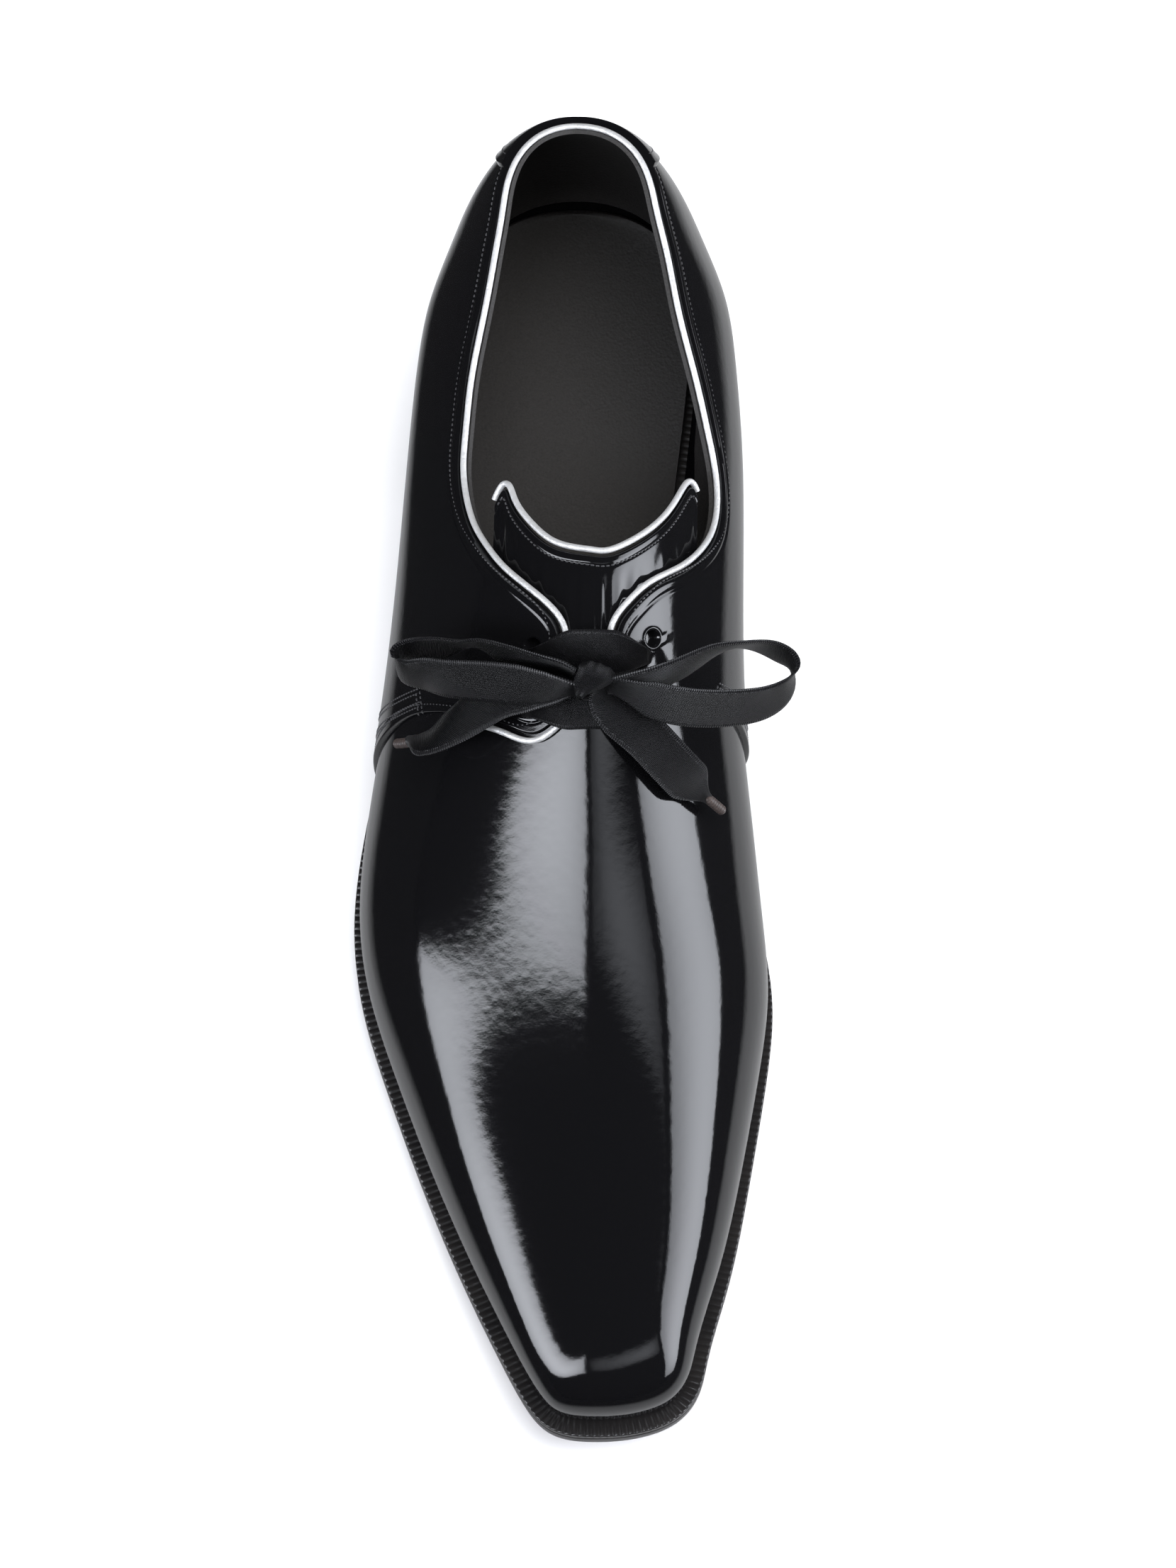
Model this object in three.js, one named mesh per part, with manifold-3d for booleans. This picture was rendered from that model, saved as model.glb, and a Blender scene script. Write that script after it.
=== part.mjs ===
import * as THREE from 'three';
import { mergeVertices } from 'three/addons/utils/BufferGeometryUtils.js';
import Module from 'manifold-3d';

// Right patent dress shoe, millimetres, toe towards -Y, heel towards +Y, standing on Z = 0.
// Places are worked out as x (medial is +), along (from the heel's back to the toe) and z,
// and on the last as t (around the sole's edge) and v (up the column, feather to ridge).

// Driving dimensions
const SOLE_LENGTH = 308;
const BALL_WIDTH = 101.3;
const HEEL_HEIGHT = 25;
const TOE_SPRING = 12;
const OUTSOLE_THICKNESS = 4.2;
const WELT_THICKNESS = 2.3;
const INSOLE_THICKNESS = 3;
const TOP_PIECE_THICKNESS = 6;
const HEEL_LENGTH = 68;
const HEEL_BREAST_HOLLOW = 3;
const HEEL_TAPER = 2.2;
const WELT_MARGIN = 3.4;
const WAIST_BULGE = 14.6;
const WIDEST_HEIGHT = 25;
const THROAT_HEIGHT = 90;
const CLEARANCE = 0.3;
const FACET_ROOM = 0.3;
const TONGUE_CLEARANCE = 0.6;

// Thicknesses of the upper's layers, and the parts that trim it
const VAMP_WALL = 1.5;
const QUARTER_LINING = 1.9;
const QUARTER_STEP = 1.2;
const TAB_STEP = 0.9;
const TONGUE_THICKNESS = 1.3;
const PIPING_WIDTH = 2.2;
const EYELET_WIDTH = 3.6;
const RIBBON_WIDTH = 11;
const RIBBON_THICKNESS = 0.9;
const AGLET_LENGTH = 7;
const AGLET_WIDTH = 2.4;
const EDGE_BEVEL = 0.7;

// Sole's edge: shares of SOLE_LENGTH along, shares of BALL_WIDTH across
const OUTLINE = [
  { along: 0, lateral: 0.032, medial: 0.032 },
  { along: 0.0042, lateral: -0.079, medial: 0.142 },
  { along: 0.0182, lateral: -0.17, medial: 0.233 },
  { along: 0.0438, lateral: -0.239, medial: 0.302 },
  { along: 0.0844, lateral: -0.278, medial: 0.34 },
  { along: 0.146, lateral: -0.292, medial: 0.342 },
  { along: 0.2435, lateral: -0.306, medial: 0.308 },
  { along: 0.341, lateral: -0.355, medial: 0.284 },
  { along: 0.438, lateral: -0.428, medial: 0.326 },
  { along: 0.5195, lateral: -0.482, medial: 0.417 },
  { along: 0.584, lateral: -0.5005, medial: 0.472 },
  { along: 0.649, lateral: -0.478, medial: 0.4995 },
  { along: 0.714, lateral: -0.4185, medial: 0.481 },
  { along: 0.7955, lateral: -0.33, medial: 0.439 },
  { along: 0.8766, lateral: -0.229, medial: 0.387 },
  { along: 0.935, lateral: -0.146, medial: 0.339 },
  { along: 0.9675, lateral: -0.095, medial: 0.31 },
  { along: 0.987, lateral: -0.053, medial: 0.255 },
  { along: 0.9974, lateral: 0.002, medial: 0.168 },
  { along: 1, lateral: 0.079, medial: 0.079 },
];

// Sole's underside from the side: shares of SOLE_LENGTH, of HEEL_HEIGHT and of TOE_SPRING
const UNDERSIDE = [
  { along: 0, heel: 1, spring: 0 },
  { along: 0.097, heel: 0.984, spring: 0 },
  { along: 0.195, heel: 0.928, spring: 0 },
  { along: 0.276, heel: 0.768, spring: 0 },
  { along: 0.357, heel: 0.52, spring: 0 },
  { along: 0.438, heel: 0.256, spring: 0 },
  { along: 0.52, heel: 0.072, spring: 0 },
  { along: 0.59, heel: 0.006, spring: 0 },
  { along: 0.65, heel: 0, spring: 0 },
  { along: 0.7, heel: 0, spring: 0.008 },
  { along: 0.78, heel: 0, spring: 0.15 },
  { along: 0.877, heel: 0, spring: 0.45 },
  { along: 0.948, heel: 0, spring: 0.75 },
  { along: 1, heel: 0, spring: 1 },
];
const FLAT_FROM = 0.617;
const FLAT_TO = 0.705;

// Last's wall at stations along the sole, lateral then medial: margin inside the sole's edge
// (shares of WELT_MARGIN), widest point's bulge past the feather (shares of WAIST_BULGE) and its
// rise (shares of WIDEST_HEIGHT), and how full the column is at its shoulder and at its crest
const WALL = [
  { along: 0, margin: [0.47, 0.47], bulge: [0.29, 0.29], rise: [0.64, 0.64], shoulder: [0.64, 0.64], crest: [0.6, 0.6] },
  { along: 0.023, margin: [0.47, 0.47], bulge: [0.12, 0.14], rise: [0.64, 0.64], shoulder: [0.5, 0.5], crest: [0.52, 0.52] },
  { along: 0.062, margin: [0.41, 0.41], bulge: [0.06, 0.1], rise: [0.64, 0.64], shoulder: [0.34, 0.34], crest: [0.4, 0.4] },
  { along: 0.11, margin: [0.41, 0.41], bulge: [0.25, 0.32], rise: [0.64, 0.68], shoulder: [0.25, 0.26], crest: [0.3, 0.3] },
  { along: 0.169, margin: [0.38, 0.38], bulge: [0.41, 0.55], rise: [0.64, 0.76], shoulder: [0.25, 0.28], crest: [0.28, 0.28] },
  { along: 0.247, margin: [0.35, 0.35], bulge: [0.47, 0.84], rise: [0.64, 0.88], shoulder: [0.29, 0.36], crest: [0.3, 0.34] },
  { along: 0.341, margin: [0.35, 0.35], bulge: [0.32, 1], rise: [0.64, 1], shoulder: [0.35, 0.42], crest: [0.36, 0.42] },
  { along: 0.438, margin: [0.53, 0.53], bulge: [0.12, 0.79], rise: [0.6, 0.92], shoulder: [0.4, 0.44], crest: [0.4, 0.42] },
  { along: 0.52, margin: [0.76, 0.71], bulge: [0.08, 0.38], rise: [0.48, 0.76], shoulder: [0.44, 0.5], crest: [0.42, 0.42] },
  { along: 0.6, margin: [0.94, 0.82], bulge: [0.1, 0.15], rise: [0.4, 0.52], shoulder: [0.5, 0.54], crest: [0.45, 0.45] },
  { along: 0.714, margin: [1, 0.94], bulge: [0.1, 0.1], rise: [0.36, 0.44], shoulder: [0.56, 0.6], crest: [0.52, 0.52] },
  { along: 0.844, margin: [1.06, 1], bulge: [0.08, 0.08], rise: [0.32, 0.36], shoulder: [0.64, 0.66], crest: [0.6, 0.6] },
  { along: 0.9675, margin: [1.15, 1.15], bulge: [0.07, 0.07], rise: [0.32, 0.32], shoulder: [0.7, 0.7], crest: [0.62, 0.62] },
  { along: 1, margin: [1.18, 1.18], bulge: [0.07, 0.07], rise: [0.32, 0.32], shoulder: [0.72, 0.72], crest: [0.62, 0.62] },
];
const WIDEST_V = 0.28;

// Last's ridge: shares of SOLE_LENGTH, of BALL_WIDTH across and of THROAT_HEIGHT up
const RIDGE = [
  { along: 0.065, across: 0.036, up: 1.245 },
  { along: 0.11, across: 0.036, up: 1.228 },
  { along: 0.195, across: 0.041, up: 1.167 },
  { along: 0.292, across: 0.061, up: 1.106 },
  { along: 0.373, across: 0.069, up: 1.056 },
  { along: 0.438, across: 0.071, up: 0.985 },
  { along: 0.503, across: 0.073, up: 0.895 },
  { along: 0.584, across: 0.085, up: 0.776 },
  { along: 0.666, across: 0.095, up: 0.669 },
  { along: 0.747, across: 0.103, up: 0.584 },
  { along: 0.828, across: 0.111, up: 0.518 },
  { along: 0.883, across: 0.115, up: 0.48 },
  { along: 0.922, across: 0.113, up: 0.454 },
  { along: 0.974, across: 0.109, up: 0.411 },
];
const SPINE_FROM = 0.11;
const SPINE_TO = 0.919;
const SPINE_BLEND = 0.045;

// Collar and facing edge: s runs from the back seam to the facing's lower end, v is up the column
const COLLAR = [
  { s: 0, lateral: 0.572, medial: 0.572 },
  { s: 0.121, lateral: 0.645, medial: 0.625 },
  { s: 0.188, lateral: 0.66, medial: 0.642 },
  { s: 0.317, lateral: 0.662, medial: 0.633 },
  { s: 0.404, lateral: 0.641, medial: 0.607 },
  { s: 0.485, lateral: 0.612, medial: 0.567 },
  { s: 0.56, lateral: 0.602, medial: 0.532 },
  { s: 0.606, lateral: 0.602, medial: 0.508 },
  { s: 0.667, lateral: 0.627, medial: 0.505 },
  { s: 0.711, lateral: 0.662, medial: 0.542 },
  { s: 0.749, lateral: 0.707, medial: 0.608 },
  { s: 0.786, lateral: 0.76, medial: 0.703 },
  { s: 0.816, lateral: 0.815, medial: 0.802 },
  { s: 0.844, lateral: 0.87, medial: 0.87 },
  { s: 0.87, lateral: 0.912, medial: 0.92 },
  { s: 0.9, lateral: 0.93, medial: 0.942 },
  { s: 0.95, lateral: 0.93, medial: 0.944 },
  { s: 1, lateral: 0.928, medial: 0.942 },
];

// Quarter's front edge: w runs from the feather to the facing's lower end, t is around the sole
const QUARTER_FRONT = [
  { w: 0, t: 0.48 },
  { w: 0.15, t: 0.478 },
  { w: 0.3, t: 0.474 },
  { w: 0.45, t: 0.468 },
  { w: 0.6, t: 0.468 },
  { w: 0.7, t: 0.476 },
  { w: 0.8, t: 0.487 },
  { w: 0.88, t: 0.498 },
  { w: 0.95, t: 0.505 },
  { w: 1, t: 0.497 },
];
const THROAT_T = 0.474;
const PIPING_RAMP = 0.007;
const VAMP_UNDERLAP = 0.03;
const PIPED_FRONT_W = 0.72;

// Tongue: its upper edge dips between two ears, from the lateral to the medial side
const TONGUE_EDGE = [
  { across: 0, t: 0.33, v: 0.69 },
  { across: 0.06, t: 0.322, v: 0.712 },
  { across: 0.12, t: 0.334, v: 0.735 },
  { across: 0.2, t: 0.355, v: 0.79 },
  { across: 0.32, t: 0.374, v: 0.87 },
  { across: 0.5, t: 0.383, v: 1 },
  { across: 0.68, t: 0.378, v: 0.87 },
  { across: 0.8, t: 0.358, v: 0.74 },
  { across: 0.89, t: 0.332, v: 0.64 },
  { across: 0.94, t: 0.316, v: 0.59 },
  { across: 1, t: 0.318, v: 0.56 },
];
const TONGUE_FRONT_T = 0.505;
const TONGUE_FRONT_NARROWING = 0.1;

// Eyelets, and the ribbon's bars between them
const EYELETS = [
  { t: -0.443, v: 0.85 },
  { t: -0.473, v: 0.85 },
  { t: 0.436, v: 0.8 },
  { t: 0.47, v: 0.81 },
];
const BARS = [
  { name: 'lace_bar_upper', t: 0.448, over: QUARTER_STEP },
  { name: 'lace_bar_lower', t: 0.485, over: PIPING_WIDTH + FACET_ROOM + CLEARANCE },
];
const BAR_LATERAL_V = 0.84;
const BAR_MEDIAL_V = 0.795;

// Bow: x, along and z of each ribbon's middle, and its lean from upright in degrees
const KNOT = { x: 7.4, along: 146.6, z: 93, wide: 8.4, long: 8.6, high: 8 };
const LEFT_LOOP = [
  { x: 2.8, along: 144.8, z: 94.2, lean: -4 },
  { x: 0.2, along: 143.6, z: 94.5, lean: -5 },
  { x: -4.9, along: 142.6, z: 94, lean: -10 },
  { x: -10.3, along: 141, z: 93, lean: -11 },
  { x: -14.3, along: 139.3, z: 92, lean: -7 },
  { x: -17.8, along: 137.4, z: 90.7, lean: 4 },
  { x: -21.6, along: 135.8, z: 89, lean: 15 },
  { x: -26, along: 135.2, z: 87.2, lean: 4 },
  { x: -31, along: 135.1, z: 84, lean: -12 },
  { x: -35.4, along: 135.3, z: 81.6, lean: -14 },
  { x: -38.2, along: 136.4, z: 80, lean: -4 },
  { x: -37.6, along: 138.6, z: 79.8, lean: 6 },
  { x: -33.5, along: 140.2, z: 80.6, lean: 20 },
  { x: -28, along: 142, z: 83, lean: 30 },
  { x: -22, along: 143.6, z: 86, lean: 36 },
  { x: -15.5, along: 145.2, z: 89.3, lean: 38 },
  { x: -9.5, along: 146.7, z: 91.6, lean: 38 },
  { x: -3.5, along: 147.6, z: 92.8, lean: 30 },
  { x: 1.5, along: 147.9, z: 93.1, lean: 16 },
];
const RIGHT_LOOP = [
  { x: 12, along: 146.4, z: 94, lean: 2 },
  { x: 16.7, along: 146.2, z: 94.5, lean: 8 },
  { x: 23, along: 145.2, z: 94.5, lean: 12 },
  { x: 28.5, along: 142.6, z: 93.5, lean: 8 },
  { x: 34.5, along: 138.8, z: 91.8, lean: -3 },
  { x: 40.5, along: 136.2, z: 90, lean: -15 },
  { x: 46, along: 135.5, z: 87.8, lean: -6 },
  { x: 51, along: 136.8, z: 85.4, lean: 6 },
  { x: 54, along: 139.8, z: 83.4, lean: 4 },
  { x: 53, along: 143.8, z: 82.4, lean: -8 },
  { x: 49, along: 147.4, z: 83, lean: -20 },
  { x: 42, along: 150.1, z: 85.8, lean: -29 },
  { x: 34.5, along: 151.4, z: 88.6, lean: -33 },
  { x: 27, along: 151.7, z: 91.4, lean: -36 },
  { x: 20.5, along: 150.6, z: 93.2, lean: -36 },
  { x: 14.6, along: 148.7, z: 94.2, lean: -28 },
];
const LEFT_TAIL = [
  { x: -8.2, along: 146.4, z: 86.1, lean: 80 },
  { x: -11.2, along: 146.6, z: 84.7, lean: 80 },
  { x: -15.6, along: 147.3, z: 82.4, lean: 80 },
  { x: -20.6, along: 149.4, z: 79.6, lean: 76 },
  { x: -25, along: 151.2, z: 76.2, lean: 70 },
  { x: -29.5, along: 152.2, z: 71.4, lean: 66 },
  { x: -33, along: 151.9, z: 66.5, lean: 62 },
  { x: -35.8, along: 150.8, z: 62, lean: 62 },
];
const RIGHT_TAIL = [
  { x: 12.9, along: 152.5, z: 88.4, lean: -94 },
  { x: 15.6, along: 154.3, z: 86.8, lean: -96 },
  { x: 19.6, along: 156.9, z: 84, lean: -101 },
  { x: 23.3, along: 159.8, z: 80.6, lean: -106 },
  { x: 27.2, along: 162.8, z: 76.6, lean: -112 },
  { x: 30.9, along: 165.1, z: 71.8, lean: -116 },
  { x: 34, along: 166.3, z: 67, lean: -118 },
];

const wasm = await Module();
wasm.setup();

// Solves a small dense set of linear equations
function solve(matrix, values) {
  const size = values.length;
  const rows = matrix.map((row, i) => [...row, values[i]]);
  for (let col = 0; col < size; col += 1) {
    let best = col;
    for (let row = col + 1; row < size; row += 1) {
      if (Math.abs(rows[row][col]) > Math.abs(rows[best][col])) best = row;
    }
    [rows[col], rows[best]] = [rows[best], rows[col]];
    for (let row = 0; row < size; row += 1) {
      if (row === col) continue;
      const factor = rows[row][col] / rows[col][col];
      if (factor === 0) continue;
      for (let k = col; k <= size; k += 1) rows[row][k] -= factor * rows[col][k];
    }
  }
  return rows.map((row, i) => row[size] / row[i]);
}

// Smooth cubic curve through knots; with a period it closes on itself
function spline(knots, values, period = 0) {
  const count = knots.length;
  const closed = period > 0;
  const next = (i) => (closed ? (i + 1) % count : i + 1);
  const prior = (i) => (closed ? (i + count - 1) % count : i - 1);
  const gap = (i) => (i === count - 1 ? knots[0] + period : knots[i + 1]) - knots[i];
  const matrix = knots.map(() => new Array(count).fill(0));
  const right = new Array(count).fill(0);
  for (let i = 0; i < count; i += 1) {
    if (!closed && (i === 0 || i === count - 1)) {
      matrix[i][i] = 1;
      continue;
    }
    const before = gap(prior(i));
    const after = gap(i);
    matrix[i][prior(i)] += before;
    matrix[i][i] += 2 * (before + after);
    matrix[i][next(i)] += after;
    const rise = (values[next(i)] - values[i]) / after;
    right[i] = 6 * (rise - (values[i] - values[prior(i)]) / before);
  }
  const bend = solve(matrix, right);
  return (query) => {
    let q = Math.min(Math.max(query, knots[0]), knots[count - 1]);
    if (closed) q = ((((query - knots[0]) % period) + period) % period) + knots[0];
    let i = 0;
    while (i < (closed ? count - 1 : count - 2) && knots[i + 1] <= q) i += 1;
    const h = gap(i);
    const a = q - knots[i];
    const b = h - a;
    const cubic = (bend[i] * b ** 3 + bend[next(i)] * a ** 3) / (6 * h);
    const start = (values[i] / h - (bend[i] * h) / 6) * b;
    const end = (values[next(i)] / h - (bend[next(i)] * h) / 6) * a;
    return cubic + start + end;
  };
}

// Curve over t from -1 (toe) by the lateral side, 0 (heel) and the medial side to 1 (toe)
function around(stations, lateral, medial) {
  const last = stations.length - 1;
  const knots = [...stations.slice(1).reverse().map((t) => -t), ...stations.slice(0, last)];
  const values = [...lateral.slice(1).reverse(), ...medial.slice(0, last)];
  return spline(knots, values, 2);
}

// Sole's edge in plan
const outlineAlong = OUTLINE.map((row) => row.along * SOLE_LENGTH);
const outlineLateral = OUTLINE.map((row) => row.lateral * BALL_WIDTH);
const outlineMedial = OUTLINE.map((row) => row.medial * BALL_WIDTH);
const stationT = [0];
for (let i = 1; i < OUTLINE.length; i += 1) {
  const step = outlineAlong[i] - outlineAlong[i - 1];
  const lateral = Math.hypot(step, outlineLateral[i] - outlineLateral[i - 1]);
  const medial = Math.hypot(step, outlineMedial[i] - outlineMedial[i - 1]);
  stationT.push(stationT[i - 1] + (lateral + medial) / 2);
}
const girth = stationT[stationT.length - 1];
stationT.forEach((value, i) => { stationT[i] = value / girth; });
const edgeAlong = around(stationT, outlineAlong, outlineAlong);
const edgeAcross = around(stationT, outlineLateral, outlineMedial);

// Point of the sole's edge, moved inwards
function edge(t, inset = 0) {
  const small = 1e-4;
  const run = new THREE.Vector2(
    edgeAcross(t + small) - edgeAcross(t - small),
    edgeAlong(t + small) - edgeAlong(t - small),
  ).normalize();
  return { x: edgeAcross(t) - run.y * inset, along: edgeAlong(t) + run.x * inset };
}

// The t at which the sole's edge is a given distance along
function tAt(along) {
  let low = 0;
  let high = 1;
  for (let i = 0; i < 40; i += 1) {
    const middle = (low + high) / 2;
    if (edgeAlong(middle) < along) low = middle;
    else high = middle;
  }
  return (low + high) / 2;
}

const undersideCurve = spline(
  UNDERSIDE.map((row) => row.along * SOLE_LENGTH),
  UNDERSIDE.map((row) => row.heel * HEEL_HEIGHT + row.spring * TOE_SPRING),
);

// Height of the sole's underside, with a flat tread under the ball
function underside(along) {
  const share = along / SOLE_LENGTH;
  if (share >= FLAT_FROM && share <= FLAT_TO) return 0;
  return Math.max(undersideCurve(along), 0);
}

const weltTop = (along) => underside(along) + OUTSOLE_THICKNESS + CLEARANCE + WELT_THICKNESS;

// Last's tables as curves around the sole
const wallT = WALL.map((row, i) => {
  if (i === 0) return 0;
  return i === WALL.length - 1 ? 1 : tAt(row.along * SOLE_LENGTH);
});
const wallCurve = (key, unit) => around(
  wallT,
  WALL.map((row) => row[key][0] * unit),
  WALL.map((row) => row[key][1] * unit),
);
const marginAt = wallCurve('margin', WELT_MARGIN);
const bulgeAt = wallCurve('bulge', WAIST_BULGE);
const riseAt = wallCurve('rise', WIDEST_HEIGHT);
const shoulderAt = wallCurve('shoulder', 1);
const crestAt = wallCurve('crest', 1);
const ridgeStations = RIDGE.map((row) => row.along * SOLE_LENGTH);
const ridgeAcross = spline(ridgeStations, RIDGE.map((row) => row.across * BALL_WIDTH));
const ridgeUp = spline(ridgeStations, RIDGE.map((row) => row.up * THROAT_HEIGHT));

const softMin = (a, b, blend) => (a + b - Math.hypot(a - b, blend)) / 2;
const softMax = (a, b, blend) => (a + b + Math.hypot(a - b, blend)) / 2;

// Cubic Bezier's value
function bezier(a, b, c, d, q) {
  const p = 1 - q;
  return a * p ** 3 + 3 * b * p * p * q + 3 * c * p * q * q + d * q ** 3;
}

// Point of the last's surface: a column leans from the ridge's spine out to the feather
function lastPoint(t, v) {
  const foot = edge(t, marginAt(t));
  const feather = weltTop(foot.along) + CLEARANCE;
  const blend = SPINE_BLEND * SOLE_LENGTH;
  const forward = softMax(edgeAlong(t), SPINE_FROM * SOLE_LENGTH, blend);
  const spine = softMin(forward, SPINE_TO * SOLE_LENGTH, blend);
  const top = { x: ridgeAcross(spine), z: ridgeUp(spine) };
  const slope = (ridgeUp(spine + 0.01) - ridgeUp(spine - 0.01)) / 0.02;
  const out = new THREE.Vector2(foot.x - top.x, foot.along - spine);
  const reach = out.length();
  out.normalize();
  const rise = riseAt(t);
  const widest = reach + bulgeAt(t);
  const widestZ = feather + rise;
  const height = top.z - widestZ;
  const lift = shoulderAt(t) * height;
  const crest = crestAt(t) * widest;
  let r;
  let z;
  if (v < WIDEST_V) {
    const q = v / WIDEST_V;
    const fall = 0.45 * rise;
    const curl = ((widest - crest) / lift ** 2) * fall ** 2;
    const start = Math.max(widest - curl, reach + 0.3 * bulgeAt(t));
    r = bezier(reach, start, widest, widest, q);
    z = bezier(feather, widestZ - 0.72 * rise, widestZ - fall, widestZ, q);
  } else {
    const q = (v - WIDEST_V) / (1 - WIDEST_V);
    r = bezier(widest, widest, crest, 0, q);
    z = bezier(widestZ, widestZ + lift, top.z + slope * crest * out.y, top.z, q);
  }
  return new THREE.Vector3(top.x + out.x * r, SOLE_LENGTH / 2 - spine - out.y * r, z);
}

// Point at a distance outside the last
function offsetPoint(t, v, distance) {
  const small = 1e-3;
  const side = Math.sign(t) || 1;
  const high = Math.min(v, 1 - small);
  const up = lastPoint(t, high + small).sub(lastPoint(t, Math.max(high - small, 0)));
  const forward = lastPoint(t + side * small, high).sub(lastPoint(t - side * small, high));
  const normal = new THREE.Vector3().crossVectors(forward, up).normalize().multiplyScalar(side);
  if (normal.dot(new THREE.Vector3().subVectors(lastPoint(t, high), AXIS)) < 0) normal.negate();
  return lastPoint(t, v).addScaledVector(normal, distance);
}
const AXIS = new THREE.Vector3(0, 0, WIDEST_HEIGHT);

// Moves a grid of points along the grid's own normals; a folded end joins left and right halves
function offsetGrid(grid, distance, foldedEnd = false, flatFoot = false) {
  const rows = grid.length;
  const cols = grid[0].length;
  const toward = (i, j) => {
    const below = grid[Math.max(i - 1, 0)][j];
    let above = grid[Math.min(i + 1, rows - 1)][j];
    if (foldedEnd && i === rows - 1) above = grid[rows - 2][cols - 1 - j];
    return new THREE.Vector3().subVectors(above, below);
  };
  const across = (i, j) => new THREE.Vector3().subVectors(
    grid[i][Math.min(j + 1, cols - 1)],
    grid[i][Math.max(j - 1, 0)],
  );
  const normals = grid.map((row, i) => row.map((point, j) => {
    const normal = new THREE.Vector3().crossVectors(across(i, j), toward(i, j));
    if (flatFoot && (j === 0 || (foldedEnd && j === cols - 1))) normal.z = 0;
    return normal.normalize();
  }));
  if (foldedEnd) normals[rows - 1][(cols - 1) / 2].copy(normals[rows - 2][(cols - 1) / 2]);
  const middle = normals[Math.floor(rows / 2)][Math.floor(cols / 2)];
  const probe = grid[Math.floor(rows / 2)][Math.floor(cols / 2)];
  const sign = middle.dot(new THREE.Vector3().subVectors(probe, AXIS)) < 0 ? -1 : 1;
  return grid.map((row, i) => row.map((point, j) => (
    point.clone().addScaledVector(normals[i][j], sign * distance)
  )));
}

// Closed body from two or more grids of points laid one over the other
function stackBody(levels, foldedEnd = false) {
  const rows = levels[0].length;
  const cols = levels[0][0].length;
  const positions = [];
  levels.forEach((grid) => grid.forEach((row) => row.forEach((p) => positions.push(p.x, p.y, p.z))));
  const at = (level, i, j) => (level * rows + i) * cols + j;
  const triangles = [];
  const quad = (a, b, c, d) => triangles.push([a, b, c], [a, c, d]);
  const top = levels.length - 1;
  for (let i = 0; i < rows - 1; i += 1) {
    for (let j = 0; j < cols - 1; j += 1) {
      quad(at(top, i, j), at(top, i, j + 1), at(top, i + 1, j + 1), at(top, i + 1, j));
      quad(at(0, i, j), at(0, i + 1, j), at(0, i + 1, j + 1), at(0, i, j + 1));
    }
  }
  const rim = [];
  for (let j = 0; j < cols - 1; j += 1) rim.push([[0, j], [0, j + 1]]);
  for (let i = 0; i < rows - 1; i += 1) rim.push([[i, cols - 1], [i + 1, cols - 1]]);
  for (let j = cols - 1; j > 0 && !foldedEnd; j -= 1) rim.push([[rows - 1, j], [rows - 1, j - 1]]);
  for (let i = rows - 1; i > 0; i -= 1) rim.push([[i, 0], [i - 1, 0]]);
  for (let level = 0; level < top; level += 1) {
    rim.forEach(([a, b]) => {
      quad(at(level, ...a), at(level, ...b), at(level + 1, ...b), at(level + 1, ...a));
    });
  }
  return closedGeometry(positions, triangles);
}

// Merged geometry without collapsed triangles, its faces pointing out
function closedGeometry(positions, triangles) {
  const loose = new THREE.BufferGeometry();
  loose.setAttribute('position', new THREE.Float32BufferAttribute(positions, 3));
  loose.setIndex(triangles.flat());
  const merged = mergeVertices(loose, 1e-3);
  const spots = merged.getAttribute('position');
  const kept = [];
  let volume = 0;
  const corner = (i) => new THREE.Vector3().fromBufferAttribute(spots, i);
  for (let k = 0; k < merged.index.count; k += 3) {
    const [a, b, c] = [0, 1, 2].map((n) => merged.index.getX(k + n));
    if (a === b || b === c || c === a) continue;
    kept.push([a, b, c]);
    volume += corner(a).dot(corner(b).cross(corner(c)));
  }
  merged.setIndex((volume < 0 ? kept.map(([a, b, c]) => [a, c, b]) : kept).flat());
  return merged;
}

function toManifold(geometry) {
  const vertProperties = new Float32Array(geometry.getAttribute('position').array);
  const triVerts = new Uint32Array(geometry.index.array);
  return new wasm.Manifold(new wasm.Mesh({ numProp: 3, vertProperties, triVerts }));
}

function fromManifold(solid) {
  const mesh = solid.getMesh();
  const geometry = new THREE.BufferGeometry();
  geometry.setAttribute('position', new THREE.BufferAttribute(mesh.vertProperties, 3));
  geometry.setIndex(new THREE.BufferAttribute(mesh.triVerts, 1));
  return geometry;
}

// Evenly spaced numbers from one value to another
const spread = (from, to, steps) => Array.from(
  { length: steps + 1 },
  (_, i) => from + ((to - from) * i) / steps,
);

// Plate between the sole's two edges, each level with its inset and its height over the underside
function soleBody(levels, steps = 48) {
  const stations = spread(0, Math.PI, steps).map((angle) => (1 - Math.cos(angle)) / 2);
  return stackBody(levels.map(({ inset, height }) => stations.map((t) => {
    const ends = [edge(-t, inset), edge(t, inset)];
    return ends.map((end) => (
      new THREE.Vector3(end.x, SOLE_LENGTH / 2 - end.along, height(end.along))
    ));
  })));
}

function outsole() {
  return soleBody([
    { inset: EDGE_BEVEL, height: underside },
    { inset: 0, height: (along) => underside(along) + EDGE_BEVEL },
    { inset: 0, height: (along) => underside(along) + OUTSOLE_THICKNESS },
  ]);
}

function welt() {
  const base = (along) => underside(along) + OUTSOLE_THICKNESS + CLEARANCE;
  return soleBody([
    { inset: EDGE_BEVEL / 2, height: base },
    { inset: 0, height: (along) => base(along) + WELT_THICKNESS / 2 },
    { inset: EDGE_BEVEL / 2, height: (along) => base(along) + WELT_THICKNESS },
  ]);
}

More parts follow.
